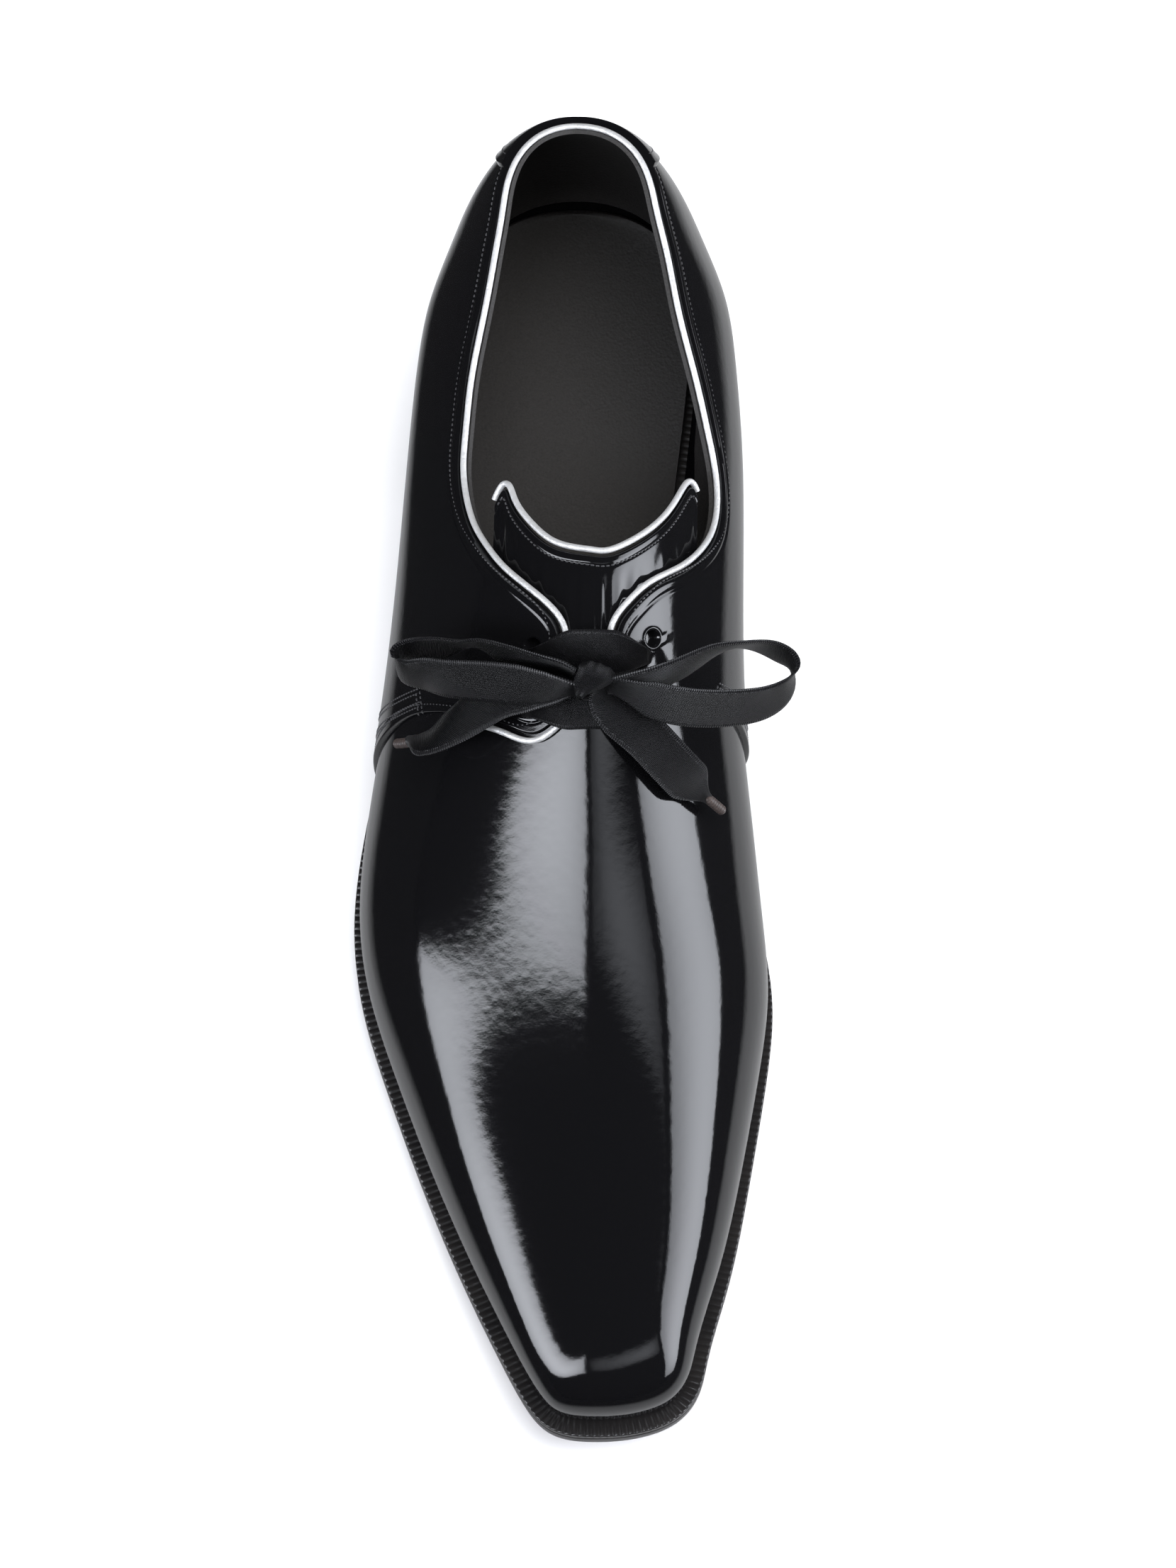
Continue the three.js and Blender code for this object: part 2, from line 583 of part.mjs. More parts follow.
function insole() {
  const gap = VAMP_WALL + QUARTER_LINING / 2 + CLEARANCE;
  const rows = spread(0, Math.PI, 44).map((angle) => (1 - Math.cos(angle)) / 2);
  const level = (rise) => rows.map((t) => [-t, t].map((side) => {
    const end = edge(side, marginAt(side) + gap);
    return new THREE.Vector3(end.x, SOLE_LENGTH / 2 - end.along, weltTop(end.along) + rise);
  }));
  return stackBody([level(CLEARANCE), level(CLEARANCE + INSOLE_THICKNESS)]);
}

// Heel block between two heights: edge tapers to the ground, breast is hollowed
function heelBody(low, high) {
  const breastT = tAt(HEEL_LENGTH);
  const rows = spread(0, Math.PI / 2, 14).map((angle) => Math.sin(angle) * breastT);
  rows.sort((a, b) => a - b);
  const level = (height, inset) => rows.map((t, i) => spread(-1, 1, 6).map((side) => {
    const lateral = edge(-t, inset);
    const medial = edge(t, inset);
    const share = (side + 1) / 2;
    const x = lateral.x + (medial.x - lateral.x) * share;
    const along = lateral.along + (medial.along - lateral.along) * share;
    const hollow = HEEL_BREAST_HOLLOW * (1 - side * side) * (i / (rows.length - 1)) ** 4;
    return new THREE.Vector3(x, SOLE_LENGTH / 2 - along + hollow, height(along - hollow));
  }));
  return stackBody([level(low.height, low.inset), level(high.height, high.inset)]);
}

function heelStack() {
  return heelBody(
    { height: () => TOP_PIECE_THICKNESS + CLEARANCE, inset: HEEL_TAPER * 0.75 },
    { height: (along) => underside(along) - CLEARANCE, inset: EDGE_BEVEL },
  );
}

function heelTopPiece() {
  return heelBody(
    { height: () => 0, inset: HEEL_TAPER },
    { height: () => TOP_PIECE_THICKNESS, inset: HEEL_TAPER * 0.75 },
  );
}

const collarLateral = spline(COLLAR.map((row) => row.s), COLLAR.map((row) => row.lateral));
const collarMedial = spline(COLLAR.map((row) => row.s), COLLAR.map((row) => row.medial));
const collarV = (s) => (s < 0 ? collarLateral(-s) : collarMedial(s));
const frontT = spline(QUARTER_FRONT.map((row) => row.w), QUARTER_FRONT.map((row) => row.t));

// Share of a column, or of the sole's half girth, that a short length on the last takes
const columnShare = (t, v, length) => (
  (0.05 * length) / lastPoint(t, v).distanceTo(lastPoint(t, v - 0.05))
);
const girthShare = (t, v, length) => (
  (0.02 * length) / lastPoint(t, v).distanceTo(lastPoint(t - Math.sign(t) * 0.02, v))
);

// Place on the quarters: s from the lateral front edge to the medial one, w up to the collar
function quarterPlace(s, w, room) {
  const side = Math.sign(s) || 1;
  const full = frontT(w);
  const t = s * (full - girthShare(side * full, w * collarV(side), room));
  const top = collarV(s) - columnShare(t, collarV(s), room);
  return { t, v: w * top };
}

// Vamp, both quarters and the back strip joined, with the eyelet holes cut through
function upper() {
  const room = PIPING_WIDTH / 2 + CLEARANCE;
  const ups = spread(0, 1, 12);
  const vampPoint = (side, share, v) => {
    const under = VAMP_UNDERLAP * THREE.MathUtils.smoothstep(0.9 - v, 0, 0.12);
    const back = THROAT_T + PIPING_RAMP / 4 - under;
    return lastPoint(side * (back + (1 - back) * share), v);
  };
  const vamp = spread(0, 1, 22).map((share) => [
    ...ups.map((v) => vampPoint(-1, share, v)),
    ...ups.slice(0, -1).reverse().map((v) => vampPoint(1, share, v)),
  ]);
  const end = vamp[vamp.length - 1];
  end.forEach((point, j) => { if (j > end.length / 2) point.copy(end[end.length - 1 - j]); });
  const vampBody = toManifold(stackBody([
    offsetGrid(vamp, -VAMP_WALL, true, true),
    vamp,
  ], true));
  const quarter = spread(-1, 1, 56).map((s) => spread(0, 1, 11).map((w) => {
    const place = quarterPlace(s, w, room);
    return lastPoint(place.t, place.v);
  }));
  const quarterBody = toManifold(stackBody([
    offsetGrid(quarter, -QUARTER_LINING, false, true),
    offsetGrid(quarter, QUARTER_STEP, false, true),
  ]));
  const tab = spread(-0.055, 0.055, 6).map((t) => spread(0.36, 0.98, 8).map((share) => (
    lastPoint(t * (0.4 + 0.6 * share), share * collarV(t / frontT(1)))
  )));
  const tabBody = toManifold(stackBody([
    offsetGrid(tab, QUARTER_STEP - TAB_STEP),
    offsetGrid(tab, QUARTER_STEP + TAB_STEP),
  ]));
  let solid = vampBody.add(quarterBody).add(tabBody);
  EYELETS.forEach(({ t, v }) => {
    const punch = new THREE.CylinderGeometry(EYELET_WIDTH / 2, EYELET_WIDTH / 2, 8, 12);
    const centre = lastPoint(t, v);
    const outside = offsetPoint(t, v, 1);
    const up = new THREE.Vector3(0, 1, 0);
    punch.applyQuaternion(new THREE.Quaternion().setFromUnitVectors(up, outside.sub(centre)));
    punch.translate(centre.x, centre.y, centre.z);
    punch.deleteAttribute('normal');
    punch.deleteAttribute('uv');
    solid = solid.subtract(toManifold(mergeVertices(punch, 1e-3)));
  });
  return fromManifold(solid);
}

// Round cord of a few sides through a run of points
function tubeBody(points, width, steps, sides = 6) {
  const section = new THREE.Shape();
  spread(0, 2 * Math.PI, sides).slice(0, -1).forEach((angle, i) => {
    const spot = [(Math.cos(angle) * width) / 2, (Math.sin(angle) * width) / 2];
    if (i === 0) section.moveTo(...spot);
    else section.lineTo(...spot);
  });
  const extrudePath = new THREE.CatmullRomCurve3(points);
  const tube = new THREE.ExtrudeGeometry(section, { steps, bevelEnabled: false, extrudePath });
  tube.deleteAttribute('normal');
  tube.deleteAttribute('uv');
  const merged = mergeVertices(tube, 1e-3);
  const triangles = [];
  const index = merged.index.array;
  for (let k = 0; k < index.length; k += 3) triangles.push([index[k], index[k + 1], index[k + 2]]);
  return closedGeometry(Array.from(merged.getAttribute('position').array), triangles);
}

// Moves a line of places on the last sideways off an edge, to the side away from a point inside
function besideEdge(places, distance, room, inside) {
  const points = places.map(({ t, v }, i) => offsetPoint(t, v, distance(i)));
  const last = points.length - 1;
  return points.map((point, i) => {
    const run = new THREE.Vector3().subVectors(
      points[Math.min(i + 1, last)],
      points[Math.max(i - 1, 0)],
    );
    const { t, v } = places[i];
    const normal = offsetPoint(t, v, distance(i) + 1).sub(point);
    const out = new THREE.Vector3().crossVectors(run, normal).normalize();
    if (out.dot(new THREE.Vector3().subVectors(inside(i), point)) > 0) out.negate();
    return point.clone().addScaledVector(out, room);
  });
}

// Silver piping: up one quarter's front edge, round the collar and down the other's
function collarPiping() {
  const room = PIPING_WIDTH / 2 + CLEARANCE;
  const fronts = spread(PIPED_FRONT_W, 1, 10).slice(0, -1);
  const marks = [
    ...fronts.map((w) => ({ s: -1, w })),
    ...spread(-1, 1, 72).map((s) => ({ s, w: 1 })),
    ...fronts.slice().reverse().map((w) => ({ s: 1, w })),
  ];
  const places = marks.map(({ s, w }) => quarterPlace(s, w, room));
  const inside = (i) => {
    const place = quarterPlace(marks[i].s * 0.95, marks[i].w * 0.95, room);
    return lastPoint(place.t, place.v);
  };
  const middle = (QUARTER_STEP - QUARTER_LINING) / 2;
  const onVamp = (i) => THREE.MathUtils.smoothstep(
    Math.abs(places[i].t),
    THROAT_T - 1.3 * PIPING_RAMP,
    THROAT_T - 0.3 * PIPING_RAMP,
  );
  const distance = (i) => middle + (room + FACET_ROOM - middle) * onVamp(i);
  return tubeBody(besideEdge(places, distance, room, inside), PIPING_WIDTH, 88);
}

const tongueDepth = QUARTER_LINING + TONGUE_CLEARANCE;
const tongueT = spline(TONGUE_EDGE.map((row) => row.across), TONGUE_EDGE.map((row) => row.t));
const tongueV = spline(TONGUE_EDGE.map((row) => row.across), TONGUE_EDGE.map((row) => (
  row.across > 0.5 ? 2 - row.v : row.v
)));

// Place on the tongue: across from lateral to medial, up from its front to its upper edge
function tonguePlace(across, up, room) {
  const side = across > 0.5 ? 1 : -1;
  const reach = tongueT(across);
  const t = TONGUE_FRONT_T + (reach - TONGUE_FRONT_T) * up;
  const high = tongueV(across);
  const v = across > 0.5 ? 2 - high : high;
  const wide = 1 - (1 - v) * (1 - TONGUE_FRONT_NARROWING * (1 - up));
  const inset = up === 1 ? girthShare(side * t, v, room) : 0;
  return { t: side * (t + inset), v: wide };
}

function tongue() {
  const room = PIPING_WIDTH / 2 + CLEARANCE;
  const grid = spread(0, 1, 12).map((up) => spread(0, 1, 24).map((across) => {
    const place = tonguePlace(across, up, room);
    return lastPoint(place.t, place.v);
  }));
  return stackBody([
    offsetGrid(grid, -tongueDepth - TONGUE_THICKNESS),
    offsetGrid(grid, -tongueDepth),
  ]);
}

function tonguePiping() {
  const room = PIPING_WIDTH / 2 + CLEARANCE;
  const marks = spread(0.01, 0.99, 28);
  const places = marks.map((across) => tonguePlace(across, 1, room));
  const inside = (i) => {
    const place = tonguePlace(marks[i], 0.9, room);
    return lastPoint(place.t, place.v);
  };
  const depth = tongueDepth + TONGUE_THICKNESS / 2;
  return tubeBody(besideEdge(places, () => -depth, room, inside), PIPING_WIDTH, 32);
}

// Ribbon bar that spans both facings over the throat
function laceBar({ t: middle, over }) {
  const half = RIBBON_WIDTH / 2;
  const reach = girthShare(middle, 0.9, half);
  const grid = spread(-reach, reach, 3).map((shift) => [
    ...spread(BAR_LATERAL_V, 1, 6).map((v) => lastPoint(-(middle + shift), v)),
    ...spread(1, BAR_MEDIAL_V, 6).slice(1).map((v) => lastPoint(middle + shift, v)),
  ]);
  const under = over + CLEARANCE;
  return stackBody([offsetGrid(grid, under), offsetGrid(grid, under + RIBBON_THICKNESS)]);
}

const toFrame = ({ x, along, z }) => new THREE.Vector3(x, SOLE_LENGTH / 2 - along, z);

// Flat ribbon along a route, its width leaning from upright by the route's angles
function ribbonBody(route, steps) {
  const path = new THREE.CatmullRomCurve3(route.map(toFrame), false, 'centripetal');
  const leans = spline(route.map((_, i) => i), route.map((row) => row.lean));
  const levels = [-0.5, 0.5].map((face) => spread(0, 1, steps).map((share) => {
    const point = path.getPoint(share);
    const run = path.getTangent(share);
    const flat = new THREE.Vector3(-run.y, run.x, 0).normalize();
    const upright = new THREE.Vector3().crossVectors(run, flat).normalize();
    if (upright.z < 0) upright.negate();
    const angle = THREE.MathUtils.degToRad(leans(share * (route.length - 1)));
    const wide = upright.clone().multiplyScalar(Math.cos(angle));
    wide.addScaledVector(flat, Math.sin(angle));
    const thick = new THREE.Vector3().crossVectors(run, wide).normalize();
    return [-0.5, 0.5].map((side) => point.clone()
      .addScaledVector(wide, side * RIBBON_WIDTH)
      .addScaledVector(thick, face * RIBBON_THICKNESS));
  }));
  return stackBody(levels);
}

function laceKnot() {
  const ball = new THREE.SphereGeometry(0.5, 14, 8);
  ball.scale(KNOT.wide, KNOT.long, KNOT.high);
  ball.translate(...toFrame(KNOT).toArray());
  ball.deleteAttribute('normal');
  ball.deleteAttribute('uv');
  return mergeVertices(ball, 1e-3);
}

// Hard tip that goes on where a ribbon ends
function aglet(route) {
  const end = toFrame(route[route.length - 1]);
  const before = toFrame(route[route.length - 2]);
  const run = end.clone().sub(before).normalize();
  const tip = new THREE.CylinderGeometry(AGLET_WIDTH / 2, AGLET_WIDTH / 2, AGLET_LENGTH, 12);
  tip.applyQuaternion(new THREE.Quaternion().setFromUnitVectors(new THREE.Vector3(0, 1, 0), run));
  const centre = end.addScaledVector(run, AGLET_LENGTH / 2 + CLEARANCE);
  tip.translate(centre.x, centre.y, centre.z);
  tip.deleteAttribute('normal');
  tip.deleteAttribute('uv');
  return mergeVertices(tip, 1e-3);
}

// Materials
const patent = { color: 0x08080a, roughness: 0.06, metalness: 0 };
const silver = { color: 0xc9cacc, roughness: 0.28, metalness: 1 };
const satin = { color: 0x17171a, roughness: 0.5, metalness: 0 };
const soleEdge = { color: 0x0c0b0c, roughness: 0.35, metalness: 0 };
const lining = { color: 0x1c1a1b, roughness: 0.75, metalness: 0 };
const rubber = { color: 0x111111, roughness: 0.8, metalness: 0 };
const aged = { color: 0x4a423d, roughness: 0.5, metalness: 0 };

const shoe = new THREE.Group();
const bow = new THREE.Group();

function addPiece(group, name, geometry, finish) {
  const piece = new THREE.Mesh(geometry, new THREE.MeshStandardMaterial(finish));
  piece.name = name;
  group.add(piece);
}

addPiece(shoe, 'heel_top_piece', heelTopPiece(), rubber);
addPiece(shoe, 'heel_stack', heelStack(), soleEdge);
addPiece(shoe, 'outsole', outsole(), soleEdge);
addPiece(shoe, 'welt', welt(), soleEdge);
addPiece(shoe, 'insole', insole(), lining);
addPiece(shoe, 'upper', upper(), patent);
addPiece(shoe, 'collar_piping', collarPiping(), silver);
addPiece(shoe, 'tongue', tongue(), patent);
addPiece(shoe, 'tongue_piping', tonguePiping(), silver);
BARS.forEach((bar) => addPiece(shoe, bar.name, laceBar(bar), satin));
addPiece(bow, 'lace_knot', laceKnot(), satin);
addPiece(bow, 'lace_loop_left', ribbonBody(LEFT_LOOP, 28), satin);
addPiece(bow, 'lace_loop_right', ribbonBody(RIGHT_LOOP, 28), satin);
addPiece(bow, 'lace_tail_left', ribbonBody(LEFT_TAIL, 12), satin);
addPiece(bow, 'lace_tail_right', ribbonBody(RIGHT_TAIL, 12), satin);
addPiece(bow, 'aglet_left', aglet(LEFT_TAIL), aged);
addPiece(bow, 'aglet_right', aglet(RIGHT_TAIL), aged);

// The origin is under the middle of the shoe's own box, without its bow
const box = new THREE.Box3().setFromObject(shoe);
const model = new THREE.Group();
model.add(shoe, bow);
model.position.set(-(box.min.x + box.max.x) / 2, -(box.min.y + box.max.y) / 2, -box.min.z);

export default model;
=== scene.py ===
import math

import bpy
import numpy as np
from mathutils import Matrix


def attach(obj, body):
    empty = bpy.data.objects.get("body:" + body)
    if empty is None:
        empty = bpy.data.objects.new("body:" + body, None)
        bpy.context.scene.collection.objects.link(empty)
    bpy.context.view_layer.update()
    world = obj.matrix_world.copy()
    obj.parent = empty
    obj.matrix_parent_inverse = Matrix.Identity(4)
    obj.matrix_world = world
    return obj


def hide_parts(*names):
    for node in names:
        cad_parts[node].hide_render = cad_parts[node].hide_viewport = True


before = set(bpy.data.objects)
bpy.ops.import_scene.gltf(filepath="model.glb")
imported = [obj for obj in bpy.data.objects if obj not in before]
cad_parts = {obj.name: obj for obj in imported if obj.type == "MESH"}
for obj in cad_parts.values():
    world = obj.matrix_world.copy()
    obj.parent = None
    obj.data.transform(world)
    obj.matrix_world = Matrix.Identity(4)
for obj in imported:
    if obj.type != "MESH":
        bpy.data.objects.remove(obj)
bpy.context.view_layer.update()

# Camera
# A long lens stands in front of the toe and looks steeply down on the shoe.
camera_data = bpy.data.cameras.new("camera")
camera_data.sensor_fit = "VERTICAL"
camera_data.sensor_height = 36.0
camera_data.lens = 144.19
camera = bpy.data.objects.new("camera", camera_data)
camera.location = (0.00604, -0.46586, 1.4666)
camera.rotation_euler = (math.radians(18.0), 0.0, 0.0)
bpy.context.collection.objects.link(camera)
bpy.context.scene.camera = camera
bpy.context.scene.view_settings.view_transform = "Standard"

# Lace, its two free runs
# A flat satin ribbon, woven as a twill between two firmer edges, tied over the throat in a bow.
# Each run leaves the knot as a loop, comes back through it and ends as a tail with a hard tip.
RIBBON_WIDTH = 11.0
RIBBON_THICKNESS = 0.9
RIBBON_CUP = 0.35
TAIL_GATHER = 9.0
TIP_WIDTH = 2.5
TWILL_SLANT = 0.75
WARP_PITCH = 0.32
LEFT_RUN = [
    {"x": 2.8, "along": 144.8, "z": 94.2, "lean": -4, "gather": 0.5},
    {"x": 0.2, "along": 143.6, "z": 94.5, "lean": -5, "gather": 0.66},
    {"x": -4.9, "along": 142.6, "z": 94, "lean": -10, "gather": 0.9},
    {"x": -10.3, "along": 141, "z": 93, "lean": -11, "gather": 1},
    {"x": -14.3, "along": 139.3, "z": 92, "lean": -7, "gather": 1},
    {"x": -17.8, "along": 137.4, "z": 90.7, "lean": 4, "gather": 1},
    {"x": -21.6, "along": 135.8, "z": 89, "lean": 15, "gather": 1},
    {"x": -26, "along": 135.2, "z": 87.2, "lean": 4, "gather": 1},
    {"x": -31, "along": 135.1, "z": 84, "lean": -12, "gather": 1},
    {"x": -35.4, "along": 135.3, "z": 81.6, "lean": -14, "gather": 1},
    {"x": -38.2, "along": 136.4, "z": 80, "lean": -4, "gather": 1},
    {"x": -37.6, "along": 138.6, "z": 79.8, "lean": 6, "gather": 1},
    {"x": -33.5, "along": 140.2, "z": 80.6, "lean": 20, "gather": 1},
    {"x": -28, "along": 142, "z": 83, "lean": 30, "gather": 1},
    {"x": -22, "along": 143.6, "z": 86, "lean": 36, "gather": 1},
    {"x": -15.5, "along": 145.2, "z": 89.3, "lean": 38, "gather": 1},
    {"x": -9.5, "along": 146.7, "z": 91.6, "lean": 38, "gather": 1},
    {"x": -3.5, "along": 147.6, "z": 92.8, "lean": 30, "gather": 0.85},
    {"x": 1.5, "along": 147.9, "z": 93.1, "lean": 16, "gather": 0.55},
    {"x": 5, "along": 147.9, "z": 92.2, "lean": 30, "gather": 0.4},
    {"x": 6.2, "along": 147.1, "z": 91, "lean": 60, "gather": 0.4},
    {"x": 4.4, "along": 146.3, "z": 90, "lean": 76, "gather": 0.5},
    {"x": -1.5, "along": 146.1, "z": 88.3, "lean": 80, "gather": 0.8},
    {"x": -8.2, "along": 146.4, "z": 86.1, "lean": 80, "gather": 1},
    {"x": -11.2, "along": 146.6, "z": 84.7, "lean": 80, "gather": 1},
    {"x": -15.6, "along": 147.3, "z": 82.4, "lean": 80, "gather": 1},
    {"x": -20.6, "along": 149.4, "z": 79.6, "lean": 76, "gather": 1},
    {"x": -25, "along": 151.2, "z": 76.2, "lean": 70, "gather": 1},
    {"x": -29.5, "along": 152.2, "z": 71.4, "lean": 66, "gather": 1},
    {"x": -33, "along": 151.9, "z": 66.5, "lean": 62, "gather": 1},
    {"x": -35.8, "along": 150.8, "z": 62, "lean": 62, "gather": 1},
]
RIGHT_RUN = [
    {"x": 12, "along": 146.4, "z": 94, "lean": 2, "gather": 0.45},
    {"x": 16.7, "along": 146.2, "z": 94.5, "lean": 8, "gather": 0.7},
    {"x": 23, "along": 145.2, "z": 94.5, "lean": 12, "gather": 0.95},
    {"x": 28.5, "along": 142.6, "z": 93.5, "lean": 8, "gather": 1},
    {"x": 34.5, "along": 138.8, "z": 91.8, "lean": -3, "gather": 1},
    {"x": 40.5, "along": 136.2, "z": 90, "lean": -15, "gather": 1},
    {"x": 46, "along": 135.5, "z": 87.8, "lean": -6, "gather": 1},
    {"x": 51, "along": 136.8, "z": 85.4, "lean": 6, "gather": 1},
    {"x": 54, "along": 139.8, "z": 83.4, "lean": 4, "gather": 1},
    {"x": 53, "along": 143.8, "z": 82.4, "lean": -8, "gather": 1},
    {"x": 49, "along": 147.4, "z": 83, "lean": -20, "gather": 1},
    {"x": 42, "along": 150.1, "z": 85.8, "lean": -29, "gather": 1},
    {"x": 34.5, "along": 151.4, "z": 88.6, "lean": -33, "gather": 1},
    {"x": 27, "along": 151.7, "z": 91.4, "lean": -36, "gather": 1},
    {"x": 20.5, "along": 150.6, "z": 93.2, "lean": -36, "gather": 0.92},
    {"x": 14.6, "along": 148.7, "z": 94.2, "lean": -28, "gather": 0.6},
    {"x": 11, "along": 147.5, "z": 93.6, "lean": -40, "gather": 0.4},
    {"x": 9.3, "along": 147.7, "z": 92.6, "lean": -60, "gather": 0.4},
    {"x": 9.2, "along": 149, "z": 91.4, "lean": -80, "gather": 0.6},
    {"x": 10.5, "along": 150.9, "z": 89.9, "lean": -90, "gather": 0.85},
    {"x": 12.9, "along": 152.5, "z": 88.4, "lean": -94, "gather": 1},
    {"x": 15.6, "along": 154.3, "z": 86.8, "lean": -96, "gather": 1},
    {"x": 19.6, "along": 156.9, "z": 84, "lean": -101, "gather": 1},
    {"x": 23.3, "along": 159.8, "z": 80.6, "lean": -106, "gather": 1},
    {"x": 27.2, "along": 162.8, "z": 76.6, "lean": -112, "gather": 1},
    {"x": 30.9, "along": 165.1, "z": 71.8, "lean": -116, "gather": 1},
    {"x": 34, "along": 166.3, "z": 67, "lean": -118, "gather": 1},
]
ROW_SHIFT = (0.038, 151.642)


def row_place(x, along, z):
    """Place in the CAD's frame, mm: x moved by the first shift, and y = second shift - along."""
    return np.stack(np.broadcast_arrays(x + ROW_SHIFT[0], ROW_SHIFT[1] - along, z), -1)


def smooth_curve(knots, values, period=0.0):
    """Piecewise cubic with equal slope and bend at every knot; with a period it closes on itself."""
    knots = np.asarray(knots, float)
    values = np.asarray(values, float)
    count = len(knots)
    closed = period > 0
    gaps = np.diff(np.append(knots, knots[0] + period if closed else knots[-1] + 1.0))
    ahead = np.roll(values, -1)
    rise = (ahead - values) / gaps
    matrix = np.zeros((count, count))
    spot = np.arange(count)
    before = np.roll(gaps, 1)
    matrix[spot, spot - 1] += before
    matrix[spot, spot] += 2 * (before + gaps)
    matrix[spot, (spot + 1) % count] += gaps
    right = 6 * (rise - np.roll(rise, 1))
    if not closed:
        for end in (0, count - 1):
            matrix[end] = 0
            matrix[end, end] = 1
            right[end] = 0
    bend = np.linalg.solve(matrix, right)
    bend_ahead = np.roll(bend, -1)

    def value(query):
        query = np.asarray(query, float)
        if closed:
            query = (query - knots[0]) % period + knots[0]
        else:
            query = np.clip(query, knots[0], knots[-1])
        cell = np.searchsorted(knots, query, side="right") - 1
        cell = np.clip(cell, 0, count - 1 if closed else count - 2)
        h = gaps[cell]
        a = query - knots[cell]
        b = h - a
        cubic = (bend[cell] * b**3 + bend_ahead[cell] * a**3) / (6 * h)
        start = (values[cell] / h - bend[cell] * h / 6) * b
        end = (ahead[cell] / h - bend_ahead[cell] * h / 6) * a
        return cubic + start + end

    return value


def unit(vectors):
    """Each vector divided by its own length."""
    return vectors / np.maximum(np.linalg.norm(vectors, axis=-1, keepdims=True), 1e-12)


def sheet_faces(rows, cols, start=0, closed=False):
    """Corners of each cell of a grid, rows by columns; closed joins the last column to the first."""
    index = np.arange(rows * cols).reshape(rows, cols) + start
    if closed:
        index = np.concatenate([index, index[:, :1]], 1)
    cells = np.stack([index[:-1, :-1], index[:-1, 1:], index[1:, 1:], index[1:, :-1]], -1)
    return cells.reshape(-1, 4)


def make_piece(name, points, faces, materials, uv=None, material_index=None, sharp=40.0):
    """Mesh from points in mm and four-cornered faces; corners in one place are joined."""
    points = np.asarray(points, float).reshape(-1, 3)
    faces = np.asarray(faces).reshape(-1, 4)
    _, first, joined = np.unique(np.round(points, 3), axis=0, return_index=True, return_inverse=True)
    corners = joined.reshape(-1)[faces]
    kept = corners != np.roll(corners, -1, axis=1)
    counts = kept.sum(1)
    whole = (counts >= 3) & (corners[:, 0] != corners[:, 2]) & (corners[:, 1] != corners[:, 3])
    kept = kept[whole]
    counts = counts[whole]
    loops = corners[whole][kept]
    mesh = bpy.data.meshes.new(name)
    mesh.vertices.add(len(first))
    mesh.vertices.foreach_set("co", (points[first] * 0.001).astype(np.float32).ravel())
    mesh.loops.add(len(loops))
    mesh.loops.foreach_set("vertex_index", loops.astype(np.int32))
    mesh.polygons.add(len(counts))
    starts = np.concatenate([[0], np.cumsum(counts)[:-1]])
    mesh.polygons.foreach_set("loop_start", starts.astype(np.int32))
    if material_index is not None:
        mesh.polygons.foreach_set("material_index", np.asarray(material_index)[whole].astype(np.int32))
    if uv is not None:
        layer = mesh.uv_layers.new(name="surface")
        flat = np.asarray(uv, float).reshape(-1, 2)[faces[whole][kept]]
        layer.data.foreach_set("uv", flat.astype(np.float32).ravel())
    mesh.update(calc_edges=True)
    mesh.validate()
    mesh.shade_smooth()
    mesh.set_sharp_from_angle(angle=math.radians(sharp))
    for material in materials:
        mesh.materials.append(material)
    piece = bpy.data.objects.new(name, mesh)
    bpy.context.collection.objects.link(piece)
    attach(piece, "root")
    return piece


def carried(centres, across, lift, profile, grow=None):
    """Closed profile (a, b) along a path: centre + grow(a across + b lift); its ends drawn to a point."""
    size = np.ones((len(centres), 2)) if grow is None else grow
    a = profile[None, :, 0] * size[:, :1]
    b = profile[None, :, 1] * size[:, 1:]
    rings = centres[:, None] + a[..., None] * across[:, None] + b[..., None] * lift[:, None]
    first = np.broadcast_to(centres[:1, None], rings[:1].shape)
    last = np.broadcast_to(centres[-1:, None], rings[-1:].shape)
    rings = np.concatenate([first, rings, last])
    return rings, sheet_faces(rings.shape[0], rings.shape[1], closed=True)


def new_material(name, color, roughness, metallic=0.0):
    """A named material with the Principled shader's plain numbers set on its sockets."""
    material = bpy.data.materials.new(name)
    material.use_nodes = True
    shader = material.node_tree.nodes["Principled BSDF"]
    shader.inputs["Base Color"].default_value = (*color, 1.0)
    shader.inputs["Roughness"].default_value = roughness
    shader.inputs["Metallic"].default_value = metallic
    return material


def node(tree, kind, values=None, **settings):
    """One shader node with its settings, and its unlinked inputs given as a dictionary."""
    made = tree.nodes.new(kind)
    for key, value in settings.items():
        setattr(made, key, value)
    for key, value in (values or {}).items():
        made.inputs[key].default_value = value
    return made


def sums(tree, operation, first, second):
    """A Math node between two sockets or numbers; gives its output socket."""
    made = tree.nodes.new("ShaderNodeMath")
    made.operation = operation
    for socket, value in zip(made.inputs, (first, second)):
        if isinstance(value, bpy.types.NodeSocket):
            tree.links.new(value, socket)
        elif value is not None:
            socket.default_value = value
    return made.outputs[0]


def mix_color(tree, mask, dark, light):
    """A colour that goes from dark to light with a mask socket."""
    made = node(tree, "ShaderNodeMix", data_type="RGBA")
    tree.links.new(mask, made.inputs["Factor"])
    made.inputs["A"].default_value = (*dark, 1.0)
    made.inputs["B"].default_value = (*light, 1.0)
    return made.outputs["Result"]


